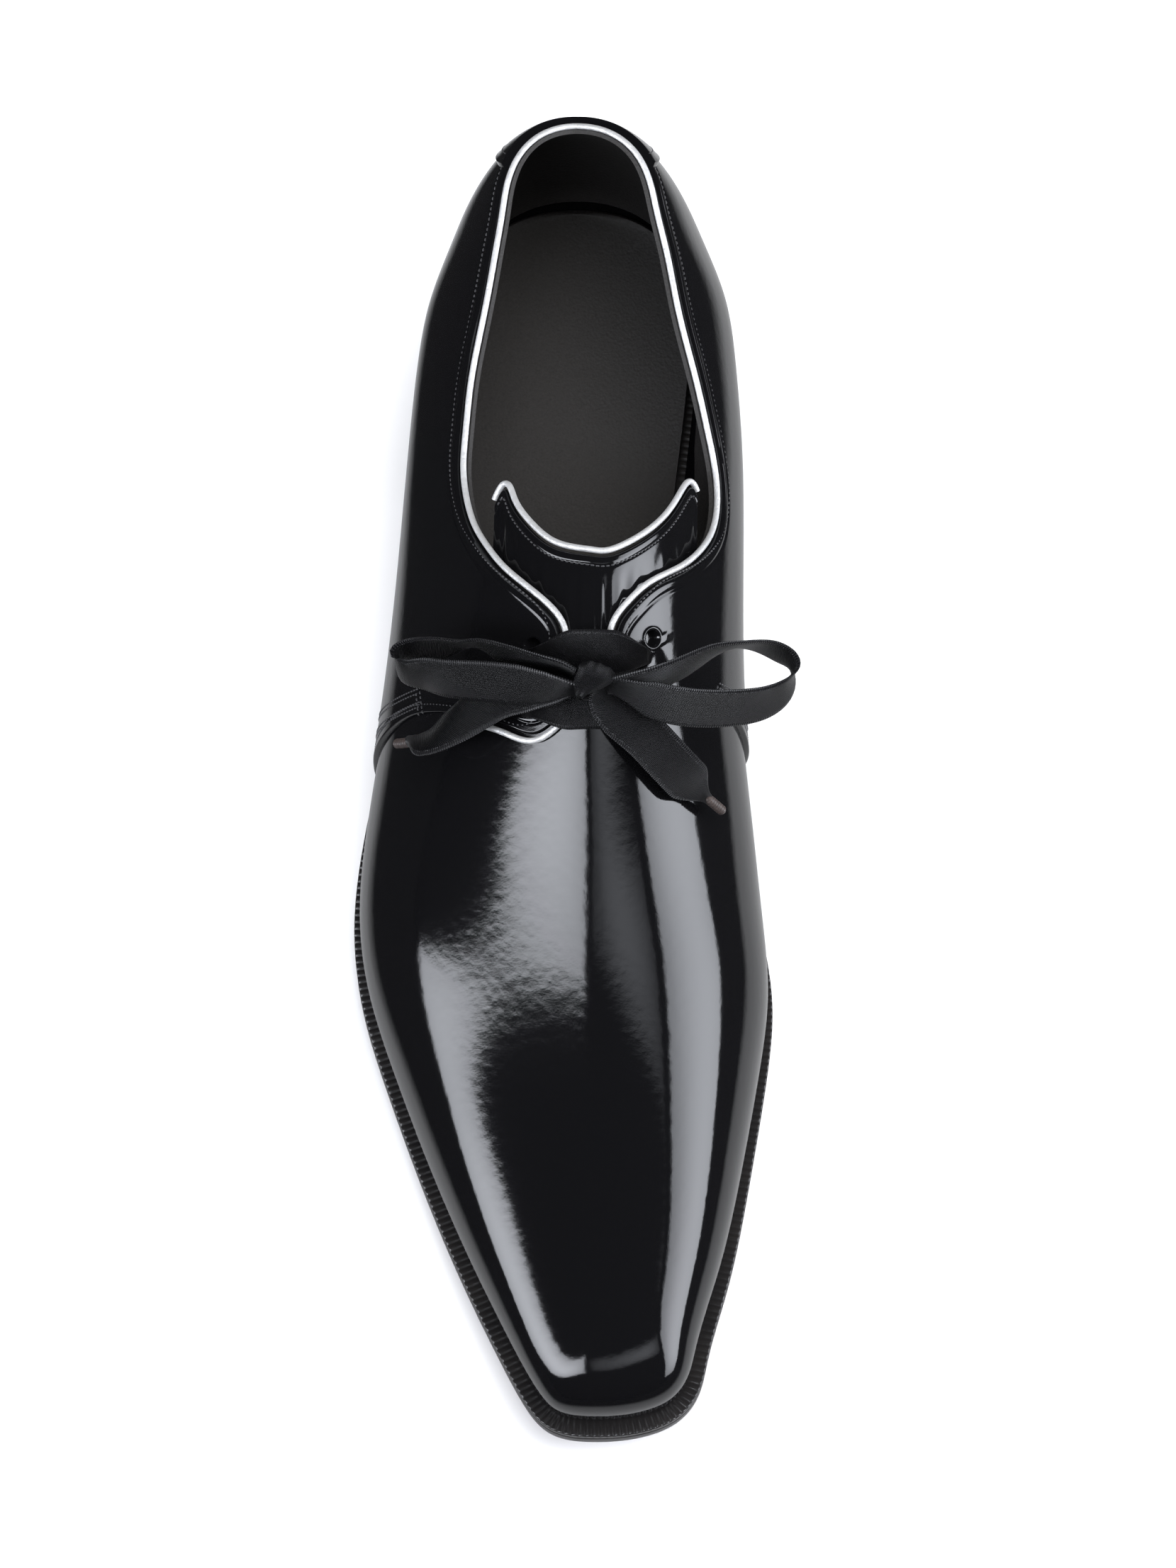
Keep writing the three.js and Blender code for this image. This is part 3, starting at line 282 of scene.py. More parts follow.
def new_group(name, inputs, outputs):
    """A shader node group with named float inputs (with their start values) and named outputs."""
    tree = bpy.data.node_groups.new(name, "ShaderNodeTree")
    for title, kind, value in inputs:
        socket = tree.interface.new_socket(name=title, in_out="INPUT", socket_type=kind)
        if value is not None:
            socket.default_value = value
    for title, kind in outputs:
        tree.interface.new_socket(name=title, in_out="OUTPUT", socket_type=kind)
    entry = tree.nodes.new("NodeGroupInput")
    leave = tree.nodes.new("NodeGroupOutput")
    return tree, entry, leave


def use_group(tree, group, **values):
    """The group placed in a material; a value is a number or another socket."""
    made = tree.nodes.new("ShaderNodeGroup")
    made.node_tree = group
    for title, value in values.items():
        socket = made.inputs[title.replace("_", " ")]
        if isinstance(value, bpy.types.NodeSocket):
            tree.links.new(value, socket)
        else:
            socket.default_value = value
    return made


def add_tones(tree, mask, dark, light):
    """The shader's colour goes from dark to light with a mask socket."""
    tones = mix_color(tree, mask, dark, light)
    tree.links.new(tones, tree.nodes["Principled BSDF"].inputs["Base Color"])


def add_relief(material, height, distance, strength=1.0):
    """Height socket through a Bump node to the shader's Normal."""
    tree = material.node_tree
    bump = node(tree, "ShaderNodeBump", {"Strength": strength, "Distance": distance})
    tree.links.new(height, bump.inputs["Height"])
    tree.links.new(bump.outputs["Normal"], tree.nodes["Principled BSDF"].inputs["Normal"])


def ribbon_weave_group():
    """Slanted twill lines, and a dotted row at the firm edges, from UV in mm across and along."""
    tree, entry, leave = new_group(
        "ribbon_weave",
        [("Width", "NodeSocketFloat", 11.0), ("Twill", "NodeSocketFloat", 0.45),
         ("Dots", "NodeSocketFloat", 0.55)],
        [("Height", "NodeSocketFloat"), ("Edge", "NodeSocketFloat"), ("Thread", "NodeSocketFloat")],
    )
    place = node(tree, "ShaderNodeUVMap", uv_map="surface")
    parts = tree.nodes.new("ShaderNodeSeparateXYZ")
    tree.links.new(place.outputs["UV"], parts.inputs[0])
    across = parts.outputs[0]
    along = parts.outputs[1]
    line = sums(tree, "ADD", sums(tree, "MULTIPLY", across, TWILL_SLANT), along)
    count = sums(tree, "DIVIDE", line, entry.outputs["Twill"])
    twill = sums(tree, "SINE", sums(tree, "MULTIPLY", count, 2 * math.pi), None)
    cross = sums(tree, "SINE", sums(tree, "MULTIPLY", across, 2 * math.pi / WARP_PITCH), None)
    cloth = sums(tree, "ADD", sums(tree, "MULTIPLY", twill, 0.35), sums(tree, "MULTIPLY", cross, 0.12))
    turns = sums(tree, "DIVIDE", sums(tree, "MULTIPLY", along, 2 * math.pi), entry.outputs["Dots"])
    dot = sums(tree, "SINE", turns, None)
    middle = sums(tree, "ABSOLUTE", across, None)
    half = sums(tree, "MULTIPLY", entry.outputs["Width"], 0.5)
    inwards = sums(tree, "SUBTRACT", half, middle)
    band = node(tree, "ShaderNodeMapRange", {"From Min": 1.15, "From Max": 0.85})
    tree.links.new(inwards, band.inputs["Value"])
    bead = sums(tree, "ADD", sums(tree, "MULTIPLY", dot, 0.6), 0.5)
    dots = sums(tree, "MULTIPLY", band.outputs[0], bead)
    plain = sums(tree, "MULTIPLY", cloth, sums(tree, "SUBTRACT", 1.0, band.outputs[0]))
    tree.links.new(sums(tree, "ADD", plain, dots), leave.inputs["Height"])
    tree.links.new(dots, leave.inputs["Edge"])
    thread = sums(tree, "MULTIPLY_ADD", twill, 0.5)
    tree.links.new(thread, leave.inputs["Thread"])
    return tree


ribbon_weave = ribbon_weave_group()
satin = new_material("ribbon_satin", (0.004, 0.004, 0.0045), 0.31)
satin_tree = satin.node_tree
satin_weave = use_group(satin_tree, ribbon_weave)
satin_shader = satin_tree.nodes["Principled BSDF"]
satin_edge = node(satin_tree, "ShaderNodeMix", {"B": (0.014, 0.014, 0.0155, 1.0)}, data_type="RGBA")
satin_tree.links.new(satin_weave.outputs["Edge"], satin_edge.inputs["Factor"])
satin_tones = mix_color(
    satin_tree, satin_weave.outputs["Thread"], (0.0008, 0.0008, 0.001), (0.0046, 0.0046, 0.0054)
)
satin_tree.links.new(satin_tones, satin_edge.inputs["A"])
satin_tree.links.new(satin_edge.outputs["Result"], satin_shader.inputs["Base Color"])
satin_shader.inputs["Sheen Weight"].default_value = 0.005
satin_shader.inputs["Sheen Roughness"].default_value = 0.4
add_relief(satin, satin_weave.outputs["Height"], 0.0002)


def ribbon_profile(width, thickness, cup):
    """Flat ring: half thickness goes as sqrt(1 - u^10), and the middle lies cup(1 - u^2) high."""
    u = np.sin(np.linspace(-np.pi / 2, np.pi / 2, 19))
    half = 0.5 * thickness * np.sqrt(np.clip(1 - np.abs(u) ** 10, 0.02, 1))
    middle = cup * (1 - u**2)
    top = np.stack([u * width / 2, middle + half], 1)
    bottom = np.stack([u * width / 2, middle - half], 1)[::-1]
    return np.concatenate([top, bottom])


def ribbon_run(route, step=0.8):
    """Middle, width and thickness directions along a route; the width leans from upright by its angle."""
    knots = row_place(*(np.array([row[key] for row in route], float) for key in ("x", "along", "z")))
    chord = np.linalg.norm(np.diff(knots, axis=0), axis=1)
    mark = np.concatenate([[0], np.cumsum(chord)])
    fine = np.linspace(0, mark[-1], int(mark[-1] / step) + 1)
    middle = np.stack([smooth_curve(mark, knots[:, k])(fine) for k in range(3)], 1)
    lean = np.radians(smooth_curve(mark, [row["lean"] for row in route])(fine))[:, None]
    run = unit(np.gradient(middle, axis=0))
    flat = unit(np.stack([-run[:, 1], run[:, 0], np.zeros(len(run))], 1))
    upright = unit(np.cross(run, flat))
    upright *= np.where(upright[:, 2:] < 0, -1.0, 1.0)
    wide = upright * np.cos(lean) + flat * np.sin(lean)
    gather = np.interp(fine, mark, [row["gather"] for row in route])
    travelled = np.concatenate([[0], np.cumsum(np.linalg.norm(np.diff(middle, axis=0), axis=1))])
    return middle, wide, unit(np.cross(run, wide)), travelled, gather


def lace_run(name, route):
    """The ribbon along its route; where it is gathered, and into its tip, it narrows and thickens."""
    middle, wide, thick, travelled, gather = ribbon_run(route)
    left = (travelled[-1] - travelled) / TAIL_GATHER
    ease = np.clip(left, 0, 1) ** 2 * (3 - 2 * np.clip(left, 0, 1))
    narrow = (TIP_WIDTH / RIBBON_WIDTH + (1 - TIP_WIDTH / RIBBON_WIDTH) * ease) * gather
    grow = np.stack([narrow, 1 + 1.2 * (1 - ease) + 0.6 * (1 - gather)], 1)
    profile = ribbon_profile(RIBBON_WIDTH, RIBBON_THICKNESS, RIBBON_CUP)
    rings, faces = carried(middle, wide, thick, profile, grow)
    along = np.concatenate([travelled[:1], travelled, travelled[-1:]])
    uv = np.stack(np.broadcast_arrays(profile[None, :, 0], along[:, None]), -1)
    piece = make_piece(name, rings, faces, [satin], uv)
    return piece, middle, float(travelled[-1])


lace_left, left_path, left_length = lace_run("lace_left", LEFT_RUN)
lace_right, right_path, right_length = lace_run("lace_right", RIGHT_RUN)
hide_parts("lace_loop_left", "lace_tail_left")
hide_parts("lace_loop_right", "lace_tail_right")

# Knot
# The ribbon goes once round the two loops, gathered a little, and is pulled tight.
# Seen from above it is a drop: wide over the loops, drawn to a point at the toe's side.
KNOT = {"x": 7.4, "along": 146.6, "z": 93.0, "wide": 8.4, "long": 8.6, "high": 8.0}
KNOT_TURN = 20.0


def wrapped_band(place, turn):
    """Elliptic ring about a slanted axis; its width goes as 0.58 + 0.48 cos(angle - 55 degrees)."""
    angle = np.linspace(0, 2 * np.pi, 97)[:-1]
    centre = row_place(place["x"], place["along"], place["z"])
    axis = np.array([np.cos(np.radians(turn)), -np.sin(np.radians(turn)), 0.0])
    side = np.array([np.sin(np.radians(turn)), np.cos(np.radians(turn)), 0.0])
    out = np.cos(angle)[:, None] * side * place["long"] / 2
    out = out + np.sin(angle)[:, None] * np.array([0, 0, place["high"] / 2])
    share = np.linspace(0, 2 * np.pi, 41)[:-1]
    across = np.cos(share) * place["wide"] / 2
    depth = np.sin(share) * 0.45 - 0.7 * np.abs(np.cos(share)) ** 3
    pleat = 0.14 * np.cos(across * 2.6) * (np.sin(share) > 0)
    size = 1 + (depth + pleat)[None, :, None] / (place["long"] / 2)
    drop = 0.58 + 0.48 * np.cos(angle - np.radians(55))
    width = across * drop[:, None] - 2.0 * np.clip(-np.cos(angle), 0, 1)[:, None]
    rings = centre + out[:, None] * size + width[..., None] * axis
    return rings, angle, across


knot_rings, knot_angle, knot_across = wrapped_band(KNOT, KNOT_TURN)
knot_grid = np.concatenate([knot_rings, knot_rings[:1]])
knot_along = np.append(knot_angle, 2 * np.pi) * KNOT["long"] / 2
lace_knot = make_piece(
    "lace_knot_band",
    knot_grid,
    sheet_faces(knot_grid.shape[0], knot_grid.shape[1], closed=True),
    [satin],
    np.stack(np.broadcast_arrays(knot_across[None], knot_along[:, None]), -1),
)
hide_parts("lace_knot")

# Lace tips
# A stiff wound sleeve pressed on each tail, worn to brown on the left one.
TIP_LENGTH = 7.0
TIP_RIBS = 9
tip_material = new_material("tip_sleeve", (0.05, 0.045, 0.042), 0.45)
tip_tree = tip_material.node_tree
tip_noise = node(tip_tree, "ShaderNodeTexNoise", {"Scale": 900.0, "Detail": 4.0})
tip_place = tip_tree.nodes.new("ShaderNodeTexCoord")
tip_tree.links.new(tip_place.outputs["Object"], tip_noise.inputs["Vector"])
add_tones(tip_tree, tip_noise.outputs["Fac"], (0.012, 0.011, 0.012), (0.07, 0.052, 0.046))
add_relief(tip_material, tip_noise.outputs["Fac"], 0.0001)


def lace_tip(name, path):
    """Round sleeve along the last direction of the ribbon; its radius swells with a cosine for each rib."""
    run = unit(path[-1] - path[-4])
    step = np.linspace(-0.6, TIP_LENGTH + 0.3, 80)
    centres = path[-1] + step[:, None] * run
    side = unit(np.cross(run, [0, 0, 1.0]))
    lift = np.cross(side, run)
    angle = np.linspace(0, 2 * np.pi, 25)[:-1]
    profile = np.stack([np.cos(angle), np.sin(angle)], 1)
    share = (step + 0.6) / (TIP_LENGTH + 0.9)
    ends = np.sqrt(np.clip(1 - np.abs(2 * share - 1) ** 12, 0.05, 1))
    radius = (TIP_WIDTH / 2 - 0.1 + 0.08 * np.cos(share * TIP_RIBS * 2 * np.pi)) * ends
    rings, faces = carried(
        centres, np.broadcast_to(side, centres.shape), np.broadcast_to(lift, centres.shape),
        profile, np.stack([radius, radius], 1),
    )
    return make_piece(name, rings, faces, [tip_material])


tip_left = lace_tip("lace_tip_left", left_path)
tip_right = lace_tip("lace_tip_right", right_path)
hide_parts("aglet_left")
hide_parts("aglet_right")

# Outsole
# One piece of sole leather, its edge inked black; the ink has rubbed brown along the bottom corner.
SOLE_LENGTH = 308.0
BALL_WIDTH = 101.3
HEEL_HEIGHT = 25.0
TOE_SPRING = 12.0
OUTSOLE_THICKNESS = 4.2
EDGE_BEVEL = 0.7
OUTLINE = [
    {"along": 0, "lateral": 0.032, "medial": 0.032},
    {"along": 0.0042, "lateral": -0.079, "medial": 0.142},
    {"along": 0.0182, "lateral": -0.17, "medial": 0.233},
    {"along": 0.0438, "lateral": -0.239, "medial": 0.302},
    {"along": 0.0844, "lateral": -0.278, "medial": 0.34},
    {"along": 0.146, "lateral": -0.292, "medial": 0.342},
    {"along": 0.2435, "lateral": -0.306, "medial": 0.308},
    {"along": 0.341, "lateral": -0.355, "medial": 0.284},
    {"along": 0.438, "lateral": -0.428, "medial": 0.326},
    {"along": 0.5195, "lateral": -0.482, "medial": 0.417},
    {"along": 0.584, "lateral": -0.5005, "medial": 0.472},
    {"along": 0.649, "lateral": -0.478, "medial": 0.4995},
    {"along": 0.714, "lateral": -0.4185, "medial": 0.481},
    {"along": 0.7955, "lateral": -0.33, "medial": 0.439},
    {"along": 0.8766, "lateral": -0.229, "medial": 0.387},
    {"along": 0.935, "lateral": -0.146, "medial": 0.339},
    {"along": 0.9675, "lateral": -0.095, "medial": 0.31},
    {"along": 0.987, "lateral": -0.053, "medial": 0.255},
    {"along": 0.9974, "lateral": 0.002, "medial": 0.168},
    {"along": 1, "lateral": 0.079, "medial": 0.079},
]
UNDERSIDE = [
    {"along": 0, "heel": 1, "spring": 0},
    {"along": 0.097, "heel": 0.984, "spring": 0},
    {"along": 0.195, "heel": 0.928, "spring": 0},
    {"along": 0.276, "heel": 0.768, "spring": 0},
    {"along": 0.357, "heel": 0.52, "spring": 0},
    {"along": 0.438, "heel": 0.256, "spring": 0},
    {"along": 0.52, "heel": 0.072, "spring": 0},
    {"along": 0.59, "heel": 0.006, "spring": 0},
    {"along": 0.65, "heel": 0, "spring": 0},
    {"along": 0.7, "heel": 0, "spring": 0.008},
    {"along": 0.78, "heel": 0, "spring": 0.15},
    {"along": 0.877, "heel": 0, "spring": 0.45},
    {"along": 0.948, "heel": 0, "spring": 0.75},
    {"along": 1, "heel": 0, "spring": 1},
]


def table(rows, key):
    """One column of a table as an array."""
    return np.array([row[key] for row in rows], float)


def around(stations, lateral, medial):
    """Closed curve over t: -1 toe, by the lateral side to 0 at the heel, and by the medial side to 1."""
    knots = np.concatenate([-stations[:0:-1], stations[:-1]])
    values = np.concatenate([lateral[:0:-1], medial[:-1]])
    return smooth_curve(knots, values, 2.0)


outline_along = table(OUTLINE, "along") * SOLE_LENGTH
outline_lateral = table(OUTLINE, "lateral") * BALL_WIDTH
outline_medial = table(OUTLINE, "medial") * BALL_WIDTH
lateral_step = np.hypot(np.diff(outline_along), np.diff(outline_lateral))
medial_step = np.hypot(np.diff(outline_along), np.diff(outline_medial))
outline_t = np.concatenate([[0], np.cumsum((lateral_step + medial_step) / 2)])
outline_t = outline_t / outline_t[-1]
edge_along = around(outline_t, outline_along, outline_along)
edge_across = around(outline_t, outline_lateral, outline_medial)
underside_curve = smooth_curve(
    table(UNDERSIDE, "along") * SOLE_LENGTH,
    table(UNDERSIDE, "heel") * HEEL_HEIGHT + table(UNDERSIDE, "spring") * TOE_SPRING,
)


def sole_edge(t, inset=0.0):
    """Point (x, along) of the sole's outline at t, moved inwards along the outline's normal."""
    x_run = edge_across(t + 1e-4) - edge_across(t - 1e-4)
    a_run = edge_along(t + 1e-4) - edge_along(t - 1e-4)
    size = np.hypot(x_run, a_run)
    return edge_across(t) - a_run / size * inset, edge_along(t) + x_run / size * inset


def underside(along):
    """Height of the sole's underside over the floor: level tread, lift to the heel, spring at the toe."""
    return np.maximum(underside_curve(along), 0.0)


def plate(levels, steps=260, shares=13):
    """Solid inside the outline; each level is (inset, height function), and caps span the end levels."""
    t = (1 - np.cos(np.linspace(0, np.pi, steps))) / 2
    points = []
    faces = []
    rings = []
    for inset, height in levels:
        ring_t = np.concatenate([-t[::-1], t[1:]])
        x, along = sole_edge(ring_t, inset)
        rings.append(row_place(x, along, height(along)))
    walls = np.stack(rings)
    points.append(walls.reshape(-1, 3))
    faces.append(sheet_faces(walls.shape[0], walls.shape[1])[:, ::-1])
    start = len(points[0])
    share = np.linspace(0, 1, shares)[None]
    for (inset, height), flip in ((levels[0], True), (levels[-1], False)):
        x_left, a_left = sole_edge(-t, inset)
        x_right, a_right = sole_edge(t, inset)
        x = x_left[:, None] * (1 - share) + x_right[:, None] * share
        along = a_left[:, None] * (1 - share) + a_right[:, None] * share
        cap = row_place(x, along, height(along))
        points.append(cap.reshape(-1, 3))
        cells = sheet_faces(cap.shape[0], cap.shape[1], start)
        faces.append(cells if flip else cells[:, ::-1])
        start += cap.shape[0] * cap.shape[1]
    return np.concatenate(points), np.concatenate(faces)


def flat_level(height):
    """Height function of a level plane."""
    return lambda along: height + 0.0 * along


def bevelled(thickness, low, radius, steps=4):
    """Levels of a plate with quarter rounds at its corners: inset r(1 - sin), height r(1 - cos)."""
    turn = np.linspace(0, np.pi / 2, steps)
    insets = np.concatenate([radius * (1 - np.sin(turn)), radius * (1 - np.cos(turn))])
    heights = np.concatenate([radius * (1 - np.cos(turn)), thickness - radius * (1 - np.sin(turn))])
    return [(inset, lambda along, rise=rise: low(along) + rise) for inset, rise in zip(insets, heights)]


def leather_fibre_group():
    """Height: noise drawn out along z as fibres. Tone: noise in broad patches."""
    tree, entry, leave = new_group(
        "leather_fibre",
        [("Scale", "NodeSocketFloat", 300.0), ("Stretch", "NodeSocketFloat", 12.0)],
        [("Height", "NodeSocketFloat"), ("Tone", "NodeSocketFloat")],
    )
    place = tree.nodes.new("ShaderNodeTexCoord")
    squash = tree.nodes.new("ShaderNodeVectorMath")
    squash.operation = "MULTIPLY"
    combine = tree.nodes.new("ShaderNodeCombineXYZ")
    combine.inputs[0].default_value = 1.0
    combine.inputs[1].default_value = 1.0
    tree.links.new(entry.outputs["Stretch"], combine.inputs[2])
    tree.links.new(place.outputs["Object"], squash.inputs[0])
    tree.links.new(combine.outputs[0], squash.inputs[1])
    fibre = node(tree, "ShaderNodeTexNoise", {"Detail": 5.0, "Roughness": 0.6})
    tree.links.new(squash.outputs[0], fibre.inputs["Vector"])
    tree.links.new(entry.outputs["Scale"], fibre.inputs["Scale"])
    patch = node(tree, "ShaderNodeTexNoise", {"Scale": 60.0, "Detail": 3.0})
    tree.links.new(place.outputs["Object"], patch.inputs["Vector"])
    tree.links.new(fibre.outputs["Fac"], leave.inputs["Height"])
    tree.links.new(patch.outputs["Fac"], leave.inputs["Tone"])
    return tree


leather_fibre = leather_fibre_group()
sole_ink = new_material("sole_edge_ink", (0.012, 0.011, 0.012), 0.3)
ink_tree = sole_ink.node_tree
ink_fibre = use_group(ink_tree, leather_fibre, Scale=220.0, Stretch=9.0)
add_tones(ink_tree, ink_fibre.outputs["Tone"], (0.006, 0.006, 0.007), (0.02, 0.018, 0.017))
add_relief(sole_ink, ink_fibre.outputs["Height"], 0.00012)
sole_bottom = new_material("sole_leather_bottom", (0.2, 0.12, 0.065), 0.55)
bottom_tree = sole_bottom.node_tree
bottom_fibre = use_group(bottom_tree, leather_fibre, Scale=160.0, Stretch=1.0)
add_tones(bottom_tree, bottom_fibre.outputs["Tone"], (0.085, 0.05, 0.03), (0.2, 0.125, 0.07))
add_relief(sole_bottom, bottom_fibre.outputs["Height"], 0.0002)
outsole_points, outsole_faces = plate(bevelled(OUTSOLE_THICKNESS, underside, EDGE_BEVEL))
outsole_height = outsole_points[outsole_faces][..., 2].mean(1)
outsole_along = ROW_SHIFT[1] - outsole_points[outsole_faces][..., 1].mean(1)
outsole_low = outsole_height - underside(outsole_along) < 0.32
outsole = make_piece(
    "outsole_edge", outsole_points, outsole_faces, [sole_ink, sole_bottom],
    material_index=outsole_low.astype(int),
)
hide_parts("outsole")

# Heel
# Leather lifts nailed one on another and inked black, over a rubber top piece that takes the wear.
HEEL_LENGTH = 68.0
HEEL_BREAST_HOLLOW = 3.0
HEEL_TAPER = 2.2
TOP_PIECE_THICKNESS = 6.0
CLEARANCE = 0.3
LIFT_COUNT = 4
t_scan = np.linspace(0, 1, 4001)
breast_t = float(np.interp(HEEL_LENGTH, edge_along(t_scan[:3000]), t_scan[:3000]))


def heel_block(levels):
    """Block from the heel's back to a hollowed breast; each level is (inset, height function)."""
    t = np.sin(np.linspace(0, np.pi / 2, 60)) * breast_t
    share = np.linspace(0, 1, 21)
    side = 2 * share - 1
    stack = []
    for inset, height in levels:
        x_left, a_left = sole_edge(-t, inset)
        x_right, a_right = sole_edge(t, inset)
        x = x_left[:, None] * (1 - share) + x_right[:, None] * share
        along = a_left[:, None] * (1 - share) + a_right[:, None] * share
        hollow = HEEL_BREAST_HOLLOW * (1 - side**2) * (np.linspace(0, 1, 60)[:, None] ** 4)
        stack.append(row_place(x, along - hollow, height(along - hollow)))
    rows, cols = stack[0].shape[:2]
    points = [stack[0].reshape(-1, 3), stack[-1].reshape(-1, 3)]
    faces = [sheet_faces(rows, cols), sheet_faces(rows, cols, rows * cols)[:, ::-1]]
    walls = [
        np.concatenate([level[::-1, 0], level[1:, -1], level[-1, -2::-1]]) for level in stack
    ]
    walls = np.stack(walls)
    faces.append(sheet_faces(walls.shape[0], walls.shape[1], 2 * rows * cols)[:, ::-1])
    points.append(walls.reshape(-1, 3))
    return np.concatenate(points), np.concatenate(faces)


def lift_levels():
    """Heights of the lifts between the top piece and the sole, with a fine groove at each joint."""
    levels = []
    for share in np.linspace(0, 1, LIFT_COUNT + 1):
        for shift, groove in ((-0.012, 0.0), (0.0, 0.28), (0.012, 0.0)):
            place = min(max(share + shift, 0.0), 1.0)
            if (share in (0.0, 1.0)) and shift != 0.0:
                continue
            inset = HEEL_TAPER * 0.75 + (EDGE_BEVEL - HEEL_TAPER * 0.75) * place + groove
            low = TOP_PIECE_THICKNESS + CLEARANCE

            def height(along, place=place):
                return low + (underside(along) - CLEARANCE - low) * place

            levels.append((inset, height))
    return levels


heel_points, heel_faces = heel_block(lift_levels())
heel_lifts = make_piece("heel_lifts", heel_points, heel_faces, [sole_ink])
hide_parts("heel_stack")
heel_rubber = new_material("heel_rubber_worn", (0.02, 0.02, 0.02), 0.75)
rubber_tree = heel_rubber.node_tree
rubber_grain = use_group(rubber_tree, leather_fibre, Scale=900.0, Stretch=1.0)
add_tones(rubber_tree, rubber_grain.outputs["Tone"], (0.012, 0.012, 0.012), (0.035, 0.034, 0.033))
add_relief(heel_rubber, rubber_grain.outputs["Height"], 0.00015)
top_levels = [
    (HEEL_TAPER + 0.4, flat_level(0.0)),
    (HEEL_TAPER, flat_level(0.4)),
    (HEEL_TAPER * 0.75, flat_level(TOP_PIECE_THICKNESS - 0.3)),
    (HEEL_TAPER * 0.75 + 0.3, flat_level(TOP_PIECE_THICKNESS)),
]
top_points, top_faces = heel_block(top_levels)
top_piece = make_piece("heel_rubber_lift", top_points, top_faces, [heel_rubber])
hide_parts("heel_top_piece")

# Welt
# A narrow strip of leather sewn round the upper; a hot wheel has pressed a row of fine ridges across it.
WELT_THICKNESS = 2.3
WELT_MARGIN = 3.4
RIDGE_PITCH = 1.7
RIDGE_DEPTH = 0.24
WELT_WIDTH = 9.0


def welt_low(along):
    """Height of the welt's underside."""
    return underside(along) + OUTSOLE_THICKNESS + CLEARANCE


def welt_strip(samples=3400):
    """Profile carried round the outline; its top dips with the cosine of the ridge count."""
    scan = np.linspace(-1, 1, 6001)
    x, along = sole_edge(scan)
    travelled = np.concatenate([[0], np.cumsum(np.hypot(np.diff(x), np.diff(along)))])
    count = round(travelled[-1] / RIDGE_PITCH)
    mark = np.linspace(0, travelled[-1], samples)
    t = np.interp(mark, travelled, scan)[:, None]
    ridge = 0.5 - 0.5 * np.cos(mark / travelled[-1] * count * 2 * np.pi)[:, None]
    ridge = ridge**2
    inset = np.array([[WELT_WIDTH, 0.5, 0.14, 0.0, 0.0, 0.12, 0.45, 1.0, 2.2, 3.0, 3.6, WELT_WIDTH]])
    rise = np.array([[0, 0, 0.12, 0.45, 1.9, 2.16, 2.28, 2.3, 2.3, 2.3, 2.25, 2.25]])
    pressed = np.array([[0, 0, 0, 0, 0.1, 0.75, 1, 1, 1, 0.8, 0, 0]])
    x, along = sole_edge(t, inset)
    z = welt_low(along) + rise - RIDGE_DEPTH * ridge * pressed
    grid = row_place(x, along, z)
    grid[-1] = grid[0]
    return grid


welt_grid = welt_strip()
welt_strip_piece = make_piece(
    "welt_ridged",
    welt_grid,
    sheet_faces(welt_grid.shape[0], welt_grid.shape[1], closed=True),
    [sole_ink],
    sharp=75.0,
)
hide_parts("welt")

